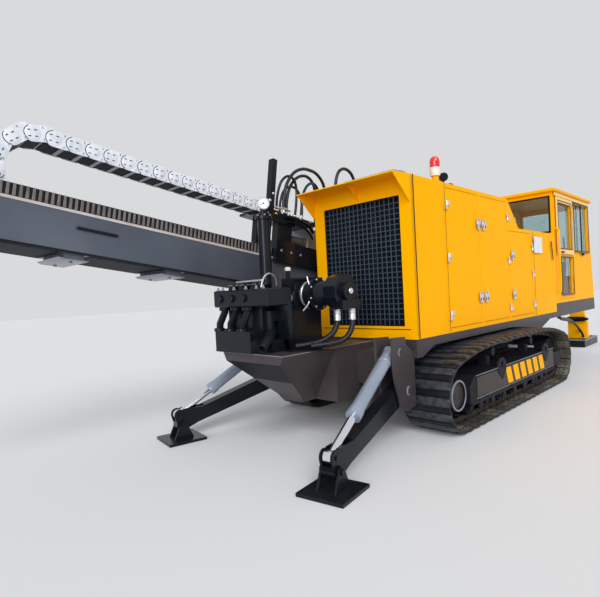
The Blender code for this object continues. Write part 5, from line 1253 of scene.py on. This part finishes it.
PUMP_HOSE_RADIUS = 0.030
PUMP_HOSE_GROOVE = 0.0032
PUMP_PORT_Z = 1.3797
PUMP_HOSE_ROUTES = {
    "pump_hose_1": [
        (-0.68, -0.50, 1.33), (-0.68, -0.50, 1.26), (-0.72, -0.46, 1.14), (-0.82, -0.36, 1.06),
        (-1.03, -0.24, 1.036),
    ],
    "pump_hose_2": [
        (-0.54, -0.58, 1.33), (-0.54, -0.58, 1.26), (-0.58, -0.57, 1.14), (-0.70, -0.53, 1.06),
        (-0.98, -0.40, 1.036),
    ],
}
CARRIAGE_HOSES = {
    # name: radius and points in the carriage's frame
    "gantry_hose_1": (0.021, [
        (-0.40, -0.235, 0.83), (-0.41, -0.240, 1.00), (-0.38, -0.240, 1.18), (-0.27, -0.235, 1.36),
        (-0.12, -0.230, 1.46), (0.04, -0.215, 1.495), (0.20, -0.190, 1.495), (0.36, -0.160, 1.42),
        (0.46, -0.125, 1.28), (0.49, -0.100, 1.08), (0.48, -0.100, 0.84),
    ]),
    "gantry_hose_2": (0.017, [
        (-0.46, -0.170, 0.83), (-0.47, -0.180, 1.02), (-0.44, -0.200, 1.20), (-0.35, -0.210, 1.30),
        (-0.24, -0.210, 1.29), (-0.17, -0.200, 1.18), (-0.15, -0.190, 1.00), (-0.15, -0.180, 0.83),
    ]),
    "gantry_hose_3": (0.020, [
        (-0.31, -0.190, 0.83), (-0.31, -0.185, 1.00), (-0.26, -0.175, 1.20), (-0.13, -0.165, 1.36),
        (0.05, -0.145, 1.43), (0.22, -0.110, 1.38), (0.34, -0.060, 1.22), (0.37, -0.040, 1.02),
        (0.37, -0.040, 0.84),
    ]),
    "gantry_hose_4": (0.016, [
        (-0.36, -0.120, 0.83), (-0.36, -0.120, 0.98), (-0.32, -0.120, 1.13), (-0.22, -0.120, 1.22),
        (-0.10, -0.120, 1.22), (-0.01, -0.120, 1.13), (0.03, -0.120, 0.98), (0.03, -0.120, 0.83),
    ]),
    "gantry_hose_5": (0.018, [
        (-0.09, -0.235, 0.83), (-0.09, -0.235, 1.00), (-0.06, -0.230, 1.18), (0.04, -0.215, 1.31),
        (0.17, -0.195, 1.34), (0.28, -0.175, 1.24), (0.31, -0.165, 1.06), (0.31, -0.160, 0.84),
    ]),
}
ROOF_HOSE_RADIUS = 0.019
ROOF_HOSE = [
    (0.04, 0.04, 2.735), (0.03, 0.03, 2.85), (0.08, 0.02, 2.97), (0.19, 0.02, 3.02),
    (0.31, 0.02, 2.98), (0.38, 0.02, 2.86), (0.39, 0.02, 2.735),
]
ANCHOR_HOSE_RADIUS = 0.024
ANCHOR_HOSES = {
    # name: the plane y that it runs in, and its x and z from the deck's underside down to the anchor's foot
    "anchor_hose_1": (-0.45, [
        (6.36, 0.928), (6.37, 0.84), (6.47, 0.74), (6.77, 0.695), (7.15, 0.640),
        (7.50, 0.530), (7.80, 0.395), (8.00, 0.270), (8.05, 0.173),
    ]),
    "anchor_hose_2": (-0.38, [
        (6.44, 0.928), (6.45, 0.85), (6.56, 0.76), (6.90, 0.720), (7.28, 0.670),
        (7.65, 0.560), (7.95, 0.420), (8.17, 0.280), (8.22, 0.173),
    ]),
}


def even_path(path, count):
    """The same line with evenly spaced points."""
    path = np.asarray(path, float)
    walked = np.concatenate([[0], np.cumsum(np.linalg.norm(np.diff(path, axis=0), axis=1))])
    at = np.linspace(0, walked[-1], count)
    return np.stack([np.interp(at, walked, path[:, i]) for i in range(3)], axis=1)


def ferrule(start, end, radius):
    """A crimped hose end: a sleeve with two grooves and a hexagon nut at its foot."""
    along = end - start
    # radius as a share of the hose's, height as a share of the ferrule's length
    sleeve = [(1.10, 0.22), (1.03, 0.26), (1.10, 0.30), (1.10, 0.50), (0.80, 0.56), (0.80, 0.62)]
    length = np.linalg.norm(along)
    profile = [(radius * 0.98, 0.0), (radius * 1.10, 0.004)]
    profile += [(radius * wide, length * height) for wide, height in sleeve]
    return join(
        lathe(profile, start, along, 20),
        rod(start + along * 0.60, start + along, radius * 1.12, 0.002, 6),
    )


def free_hose(name, points, radius, body, frame):
    """A free hose on a smooth path through its points, with crimped ends."""
    path = even_path(smooth_path(points, 8), max(15, 5 * len(points)))
    piece = add_piece(name, tube(path, radius, 14), "hose_rubber", body, frame)
    ends = []
    for last, before in ((0, 1), (-1, -2)):
        outward = path[last] - path[before]
        outward /= np.linalg.norm(outward)
        ends.append(ferrule(path[last] - outward * radius, path[last] + outward * radius * 3.2, radius))
    fittings = add_piece(f"{name}_ends", ends, "bright_steel", body, frame)


class DRILL_OT_pump_hoses(bpy.types.Operator):
    """Lay the two ribbed pump hoses from the port block down to the tray"""

    bl_idname = "drill.pump_hoses"
    bl_label = "Pump hoses"

    def execute(self, context):
        sleeve = [(0.0305, 0), (0.0340, 0.003), (0.0340, 0.060), (0.0325, 0.064), (0.0350, 0.068), (0.0350, 0.094)]
        for name, route in PUMP_HOSE_ROUTES.items():
            x, y, z = route[0]
            path = np.array([(x, y, PUMP_PORT_Z), *smooth_path(route, 5)])
            fine = even_path(path, 181)
            wave = 0.5 + 0.5 * np.cos(np.arange(len(fine)) * np.pi / 3)
            shape = tube(fine, PUMP_HOSE_RADIUS - PUMP_HOSE_GROOVE * wave, 20)
            hose = add_piece(f"{name}_ribbed", shape, "hose_rubber", replaces=(name,))
            top = [
                lathe(sleeve, (x, y, z - 0.066), steps=20),
                rod((x, y, z + 0.028), (x, y, PUMP_PORT_Z), 0.036, 0.003, 6),
            ]
            nut = add_piece(f"{name}_nut", top, "bright_steel")
        return {"FINISHED"}


# Mud pump

FLUID_STUDS_X = -1.39
VALVE_CAPS_X = -1.25
GAUGE_MIDDLE = (-1.19, -0.055, 2.46)
GAUGE_FACING = (-0.035, -0.05, 0.0)
GAUGE_POINTER = 2.0


def gauge():
    """The dial gauge's rim, its face, and the marks and pointer on it."""
    middle, facing = np.array(GAUGE_MIDDLE), np.array(GAUGE_FACING) / np.linalg.norm(GAUGE_FACING)
    across = np.cross(facing, (0, 0, 1))

    def mark(turn, lift, start, end, radius):
        way = math.sin(turn) * across + np.array([0, 0, math.cos(turn)])
        centre = middle + facing * lift
        return rod(centre + way * start, centre + way * end, radius, 0.0004, 4)

    edge = [(0.0555, -0.030), (0.060, -0.026), (0.060, 0.004), (0.054, 0.008), (0.050, 0.004), (0.0555, 0.002)]
    marks = [rod(middle + facing * 0.003, middle + facing * 0.0065, 0.007, 0.001, 12)]
    marks += [mark(turn, 0.0042, 0.038, 0.047, 0.0012) for turn in np.radians(np.arange(-135, 136, 27))]
    marks.append(mark(GAUGE_POINTER, 0.0050, 0.0, 0.040, 0.0016))
    face = lathe([(0.052, 0.0), (0.052, 0.0035)], middle, facing, 36)
    return lathe(edge, middle, facing, 36, ring=True), face, marks


class DRILL_OT_pump(bpy.types.Operator):
    """Dress the mud pump: studs and caps, flanged elbows, silver pipes, gauge, bare plate and oval tray"""

    bl_idname = "drill.pump"
    bl_label = "Mud pump"

    def execute(self, context):
        studs, flanges = [], []
        for y in (-0.22, -0.12, 0.04, 0.23, 0.42, 0.50):
            studs.append(bolt((FLUID_STUDS_X, y, 1.616), (0, 0, 0.039), 0.011, 0.003, 10))
            studs.append(bolt((FLUID_STUDS_X, y, 1.616), (0, 0, 0.018), 0.019))
        for y in (0.08, 0.27, 0.46):
            for place in round_about((VALVE_CAPS_X, y - 0.04, 1.660), 0.044, 6, "XY", math.pi / 6):
                studs.append(bolt(place, (0, 0, 0.016), 0.008, 0.002))
            flanges += [
                bolt((VALVE_CAPS_X, y - 0.04, 1.655), (0, 0, 0.027), 0.026, 0.005, 20),
                bolt((-1.345, y, 1.414), (0, 0, 0.035), 0.061, 0.004, 18),
                bolt((-1.388, y + 0.055, 1.199), (0.004, 0, 0.033), 0.058, 0.004, 18),
                bolt((-1.445, y - 0.03, 1.535), (0.027, 0, 0), 0.040, 0.004, 18),
            ]
        add_piece("pump_studs", studs, "grey_metal_and_edge_highlight")
        add_piece("pump_flanges", flanges, "black_paint")
        bend = [(-1.40, -0.20, 1.63), (-1.36, -0.20, 1.72), (-1.28, -0.19, 1.76), (-1.19, -0.17, 1.72)]
        drain = [(-0.83, -0.25, 1.72), (-0.83, -0.28, 1.60), (-0.86, -0.29, 1.46), (-0.95, -0.29, 1.38)]
        clamp = [(0.143, 0.0), (0.146, 0.003), (0.146, 0.022), (0.143, 0.025)]
        silver = [
            pipe([*bend, (-1.16, -0.15, 1.64)], 0.009),
            bolt((-1.30, -0.10, 1.70), (0, 0.40, 0), 0.012, 0.002, 12),
            pipe(drain, 0.008),
            lathe(clamp, (-0.72, -0.165, 1.535), (0, -1, 0), 36),
            bolt((-1.02, -0.168, 1.515), (0, -0.028, 0), 0.034, 0.004, 20),
            bolt((-0.65, -0.655, 1.555), (0, -0.017, 0), 0.030, 0.004, 20),
        ]
        for place in round_about((-0.70, -0.299, 1.545), 0.148, 8, "XZ", 0.3):
            silver.append(bolt(place, (0, -0.013, 0), 0.012))
        add_piece("pump_pipes", silver, "bright_steel")
        add_piece("pump_bare_plate", box((-1.162, -0.218, 1.56), (-1.154, -0.080, 1.76), 0.002), "brown_paint")
        cap = [(0.030, 0.0), (0.034, 0.004), (0.034, 0.030), (0.026, 0.040), (0.006, 0.044)]
        add_piece("breather_cap", lathe(cap, (-0.76, 0.10, 1.80)), "white_enamel")
        edge, face, marks = gauge()
        add_piece("gauge_rim", edge, "bright_steel")
        add_piece("gauge_face", face, "white_enamel")
        add_piece("gauge_marks", marks, "shade_and_mark_black")
        stem = [
            bolt((-1.172, -0.030, 2.395), (0, 0, 0.030), 0.022),
            bolt((-1.172, -0.030, 2.42), (0, 0, 0.012), 0.016, 0.002, 12),
        ]
        add_piece("gauge_stem", stem, "brass")
        places = round_about((-1.17, -0.02, 2.333), 0.070, 6, "XY")
        add_piece("chamber_bolts", [bolt(place, (0, 0, 0.019), 0.010, 0.002) for place in places], "grey_metal_and_edge_highlight")
        outline = arc((-1.03, -0.27), 0.13, 90, 225, 10) + arc((-0.93, -0.42), 0.13, 235, 395, 12)
        add_piece("hose_tray", slab("XY", outline, (0.999, 1.006), 0.002), "black_paint")
        return {"FINISHED"}


# Carriage


class DRILL_OT_carriage(bpy.types.Operator):
    """Dress the carriage: hoses that arch from the gantry to the rotary head, fittings, pipes and bolts"""

    bl_idname = "drill.carriage"
    bl_label = "Carriage"

    def execute(self, context):
        for name, (radius, points) in CARRIAGE_HOSES.items():
            free_hose(name, points, radius, "carriage", CARRIAGE)
        free_hose("roof_hose", ROOF_HOSE, ROOF_HOSE_RADIUS, "chassis", MACHINE)
        top = [(-0.60, -0.245, 0.845), (-0.50, -0.255, 0.845), (-0.40, -0.255, 0.860), (-0.30, -0.250, 0.850)]
        silver = [
            pipe(top, 0.012),
            bolt((-0.655, -0.255, 0.90), (0, -0.020, 0), 0.020),
            bolt((-0.62, -0.271, 0.99), (0, -0.014, 0), 0.016),
        ]
        silver += [bolt((x, -0.272, 0.785), (0, -0.028, 0), 0.017) for x in (-0.46, -0.36, -0.31, -0.15, 0.03)]
        brass = [bolt((x, -0.271, 0.755), (0, -0.029, 0), 0.019) for x in (-0.56, -0.28)]
        upper = [(-0.42, -0.30, 0.755), (-0.30, -0.315, 0.755), (-0.16, -0.315, 0.745), (-0.02, -0.31, 0.720)]
        lower = [(-0.38, -0.295, 0.695), (-0.28, -0.305, 0.700), (-0.14, -0.305, 0.690), (0.02, -0.29, 0.640)]
        black = [
            pipe([*upper, (0.10, -0.28, 0.66)], 0.020),
            pipe([*lower, (0.12, -0.26, 0.58)], 0.014),
            box((-0.66, -0.272, 0.66), (-0.22, -0.262, 0.768), 0.003),
        ]
        bolts = []
        for x in (-0.52, -0.36, -0.20, 0.20, 0.36, 0.52):
            for side in SIDES.values():
                bolts.append(bolt((x, side * 0.3755, 0.30), (0, side * 0.012, 0), 0.018))
        for y in (-0.22, 0.22):
            bolts += [bolt((x, y, 0.799), (0, 0, 0.013), 0.015) for x in (-0.64, -0.10, 0.16)]
        bolts += [bolt(place, (0.012, 0, 0), 0.012) for place in round_about((0.578, -0.11, 0.60), 0.108, 8, "YZ")]
        for name, shapes, finish in (
            ("gantry_fittings", silver, "bright_steel"),
            ("gantry_brass", brass, "brass"),
            ("gantry_pipes", black, "black_paint"),
            ("carriage_bolts", bolts, "grey_metal_and_edge_highlight"),
        ):
            add_piece(name, shapes, finish, "carriage", CARRIAGE)
        return {"FINISHED"}


# Outriggers, hull and front anchor

# Distances from a barrel's pivot to its two rings, and from a bracket's middle to its pins' caps
GLAND_AT = 0.855
FOOT_RING_AT = 0.16
PIN_CAP_AT = 0.094
ANCHOR_BOLTS_X = (7.82, 8.45, 8.68)
ANCHOR_BOLTS_Y = (-0.46, -0.10, 0.80, 1.20)


class DRILL_OT_outriggers(bpy.types.Operator):
    """Dress the outriggers: gland and foot rings on the barrels, and caps on the pins of the brackets"""

    bl_idname = "drill.outriggers"
    bl_label = "Outriggers"

    def execute(self, context):
        gland = [(0.064, 0.0), (0.069, 0.004), (0.069, 0.040), (0.060, 0.048), (0.040, 0.050)]
        foot = [(0.0625, 0.0), (0.0655, 0.003), (0.0655, 0.022), (0.0625, 0.025)]
        for word in SIDES:
            names = ("barrel_swing", "rod_slide", "leg_swing")
            barrel, slide, leg = (JOINTS[f"outrigger_{word}_{name}"] for name in names)
            pivot = np.array(barrel["pos_m"]) - (ORIGIN_X, 0, 0)
            along = np.array(slide["axis"]) / np.linalg.norm(slide["axis"])
            along *= -np.sign(along[2])
            rings = [lathe(gland, pivot + along * GLAND_AT, along, 28)]
            rings.append(lathe(foot, pivot + along * FOOT_RING_AT, along, 28))
            add_piece(f"barrel_rings_{word}", rings, "blue_grey", f"outrigger_{word}_barrel_body")
            side = np.array(leg["axis"]) / np.linalg.norm(leg["axis"])
            pins = []
            for joint, radius in ((leg, 0.050), (barrel, 0.040)):
                cap = [(radius, 0.0), (radius, 0.008), (radius - 0.006, 0.012), (0.020, 0.012), (0.016, 0.006)]
                middle = np.array(joint["pos_m"]) - (ORIGIN_X, 0, 0)
                pins += [lathe(cap, middle + side * way * PIN_CAP_AT, side * way, 24) for way in (-1, 1)]
            add_piece(f"bracket_pins_{word}", pins, "grey_metal_and_edge_highlight")
        return {"FINISHED"}


def sheet_on(corners, thickness):
    """A thin four-cornered sheet laid on a flat face, its thickness out along the face's normal."""
    corners = np.array(corners, float)
    normal = np.cross(corners[1] - corners[0], corners[2] - corners[0])
    normal /= np.linalg.norm(normal)
    return surface([corners - normal * 0.0005, corners + normal * thickness], wrap_v=True, capped=True)


class DRILL_OT_hull(bpy.types.Operator):
    """Edge the hull with a bright grey rim along its top, and lay a dark sheet of painted shade on its slanting
    rear
    """

    bl_idname = "drill.hull"
    bl_label = "Rear hull"

    def execute(self, context):
        low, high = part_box("rear_hull")
        rear, half = low.x - ORIGIN_X, high.y
        z, wire = high.z - 0.006, 0.0055
        edges = [
            rod((rear + 0.003, side * (half - 0.002), z), (-0.04, side * (half - 0.002), z), wire, 0.001, 8)
            for side in SIDES.values()
        ]
        edges.append(rod((rear + 0.002, 0.003 - half, z), (rear + 0.002, half - 0.003, z), wire, 0.001, 8))
        add_piece("hull_rim", edges, "grey_metal_and_edge_highlight")
        # A dark sheet on the slanting rear facet: painted shade that darkens the brown-grey hull there
        toe, wide, narrow = rear + 0.48, half - 0.046, 0.186
        corners = [(rear, -wide, 0.906), (toe, -narrow, 0.503), (toe, narrow, 0.503), (rear, wide, 0.906)]
        add_piece("hull_rear_shade_sheet", sheet_on(corners, 0.0012), "frame_black_and_hull_shade")
        return {"FINISHED"}


class DRILL_OT_anchor(bpy.types.Operator):
    """Dress the front anchor: two hoses from the deck, the foot's rim and its bolts"""

    bl_idname = "drill.anchor"
    bl_label = "Front anchor"

    def execute(self, context):
        for name, (y, points) in ANCHOR_HOSES.items():
            free_hose(name, [(x, y, z) for x, z in points], ANCHOR_HOSE_RADIUS, "chassis", MACHINE)
        (x0, y0), (x1, y1) = ((corner.x - ORIGIN_X, corner.y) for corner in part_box("anchor_plate"))
        edge = [
            box((x0 - 0.003, y0 - 0.003, 0.150), (x1 - 0.001, y0 + 0.012, 0.174), 0.002),
            box((x0 - 0.003, y0, 0.150), (x0 + 0.012, y1, 0.174), 0.002),
        ]
        add_piece("anchor_rim", edge, "grey_metal_and_edge_highlight")
        bolts = []
        for x in ANCHOR_BOLTS_X:
            bolts += [bolt((x, y, 0.169), (0, 0, 0.017), 0.020, 0.004) for y in ANCHOR_BOLTS_Y]
        add_piece("anchor_bolts", bolts, "grey_metal_and_edge_highlight")
        return {"FINISHED"}


# Operator's seat

# The pads' sewn channels: their depth, half width and distance from the middle; and the crown's fall to the edge
CHANNEL = (0.006, 0.007, 0.11)
CROWN = 0.10


def power(value, degree):
    """The value's size to a degree, with the value's own sign."""
    return np.sign(value) * np.abs(value) ** degree


def pad(centre, half, lean):
    """A stuffed pad: the rounded block (|x/a|^5 + |y/b|^5)^(8/9) + |z/c|^(10/3) = 1, with z across its thin
    side, which is crowned and has sewn channels. It leans about the machine's y axis."""
    centre, half = np.array(centre, float), np.array(half, float)
    thin = int(np.argmin(half))
    wide = [i for i in range(3) if i != thin]
    v = np.arange(96) * 2 * np.pi / 96
    u = np.linspace(-np.pi / 2, np.pi / 2, 49)[1:-1]
    ring = np.stack([power(np.cos(v), 0.4), power(np.sin(v), 0.4)], axis=1)
    spread = power(np.cos(u), 0.45)
    points = np.zeros((len(u), len(v), 3))
    for column, i in enumerate(wide):
        points[:, :, i] = spread[:, None] * ring[None, :, column] * half[i]
    height = power(np.sin(u), 0.6)[:, None] * half[thin] * 0.93
    across = points[:, :, wide[0 if thin == 0 else 1]]
    depth, width, place = CHANNEL
    channels = depth * np.exp(-((np.abs(across) - place) / width) ** 2)
    fullness = 1 - sum(CROWN * (points[:, :, i] / half[i]) ** 2 for i in wide)
    points[:, :, thin] = height * fullness - np.sign(height) * channels
    turn = np.array([[math.cos(lean), 0, math.sin(lean)], [0, 1, 0], [-math.sin(lean), 0, math.cos(lean)]])
    return surface(points @ turn.T + centre, wrap_v=True, capped=True)


class DRILL_OT_seat(bpy.types.Operator):
    """Upholster the operator's seat: a padded cushion and back with sewn channels, in place of the plain solid"""

    bl_idname = "drill.seat"
    bl_label = "Operator's seat"

    def execute(self, context):
        low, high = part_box("operator_seat")
        base = low.z
        x = low.x - ORIGIN_X + 0.47
        y = (low.y + high.y) / 2
        lower = [
            box((x - 0.15, y - 0.14, base), (x + 0.15, y + 0.14, base + 0.30), 0.02),
            box((x - 0.20, y - 0.20, base + 0.285), (x + 0.24, y + 0.20, base + 0.305), 0.006),
        ]
        add_piece("seat_pedestal", lower, "black_paint")
        cushion = pad((x + 0.02, y, base + 0.365), (0.26, 0.25, 0.065), 0.0)
        back = pad((x - 0.345, y, base + 0.71), (0.055, 0.23, 0.36), math.radians(-7.6))
        pads = add_piece("seat_pads", [cushion, back], "seat_cloth", replaces=("operator_seat",))
        return {"FINISHED"}


class DRILL_PT_panel(bpy.types.Panel):
    bl_label = "Directional drill"
    bl_idname = "DRILL_PT_panel"
    bl_space_type = "VIEW_3D"
    bl_region_type = "UI"
    bl_category = "Drill"

    def draw(self, context):
        for operator in OPERATORS:
            self.layout.operator(operator.bl_idname)


SETTINGS = {"drill_stage": StageSettings}
OPERATORS = (
    DRILL_OT_stage,
    DRILL_OT_finishes,
    DRILL_OT_tracks,
    DRILL_OT_track_frames,
    DRILL_OT_mast,
    DRILL_OT_drag_chain,
    DRILL_OT_grille,
    DRILL_OT_housing,
    DRILL_OT_cab,
    DRILL_OT_pump_hoses,
    DRILL_OT_pump,
    DRILL_OT_carriage,
    DRILL_OT_outriggers,
    DRILL_OT_hull,
    DRILL_OT_anchor,
    DRILL_OT_seat,
)


def register():
    for settings in SETTINGS.values():
        bpy.utils.register_class(settings)
    for name, settings in SETTINGS.items():
        setattr(bpy.types.Scene, name, bpy.props.PointerProperty(type=settings))
    for operator in (*OPERATORS, DRILL_PT_panel):
        bpy.utils.register_class(operator)


def unregister():
    for operator in (*OPERATORS, DRILL_PT_panel):
        bpy.utils.unregister_class(operator)
    for name, settings in SETTINGS.items():
        delattr(bpy.types.Scene, name)
        bpy.utils.unregister_class(settings)


def main():
    register()
    for operator in OPERATORS:
        space, action = operator.bl_idname.split(".")
        getattr(getattr(bpy.ops, space), action)()


if __name__ == "__main__":
    main()
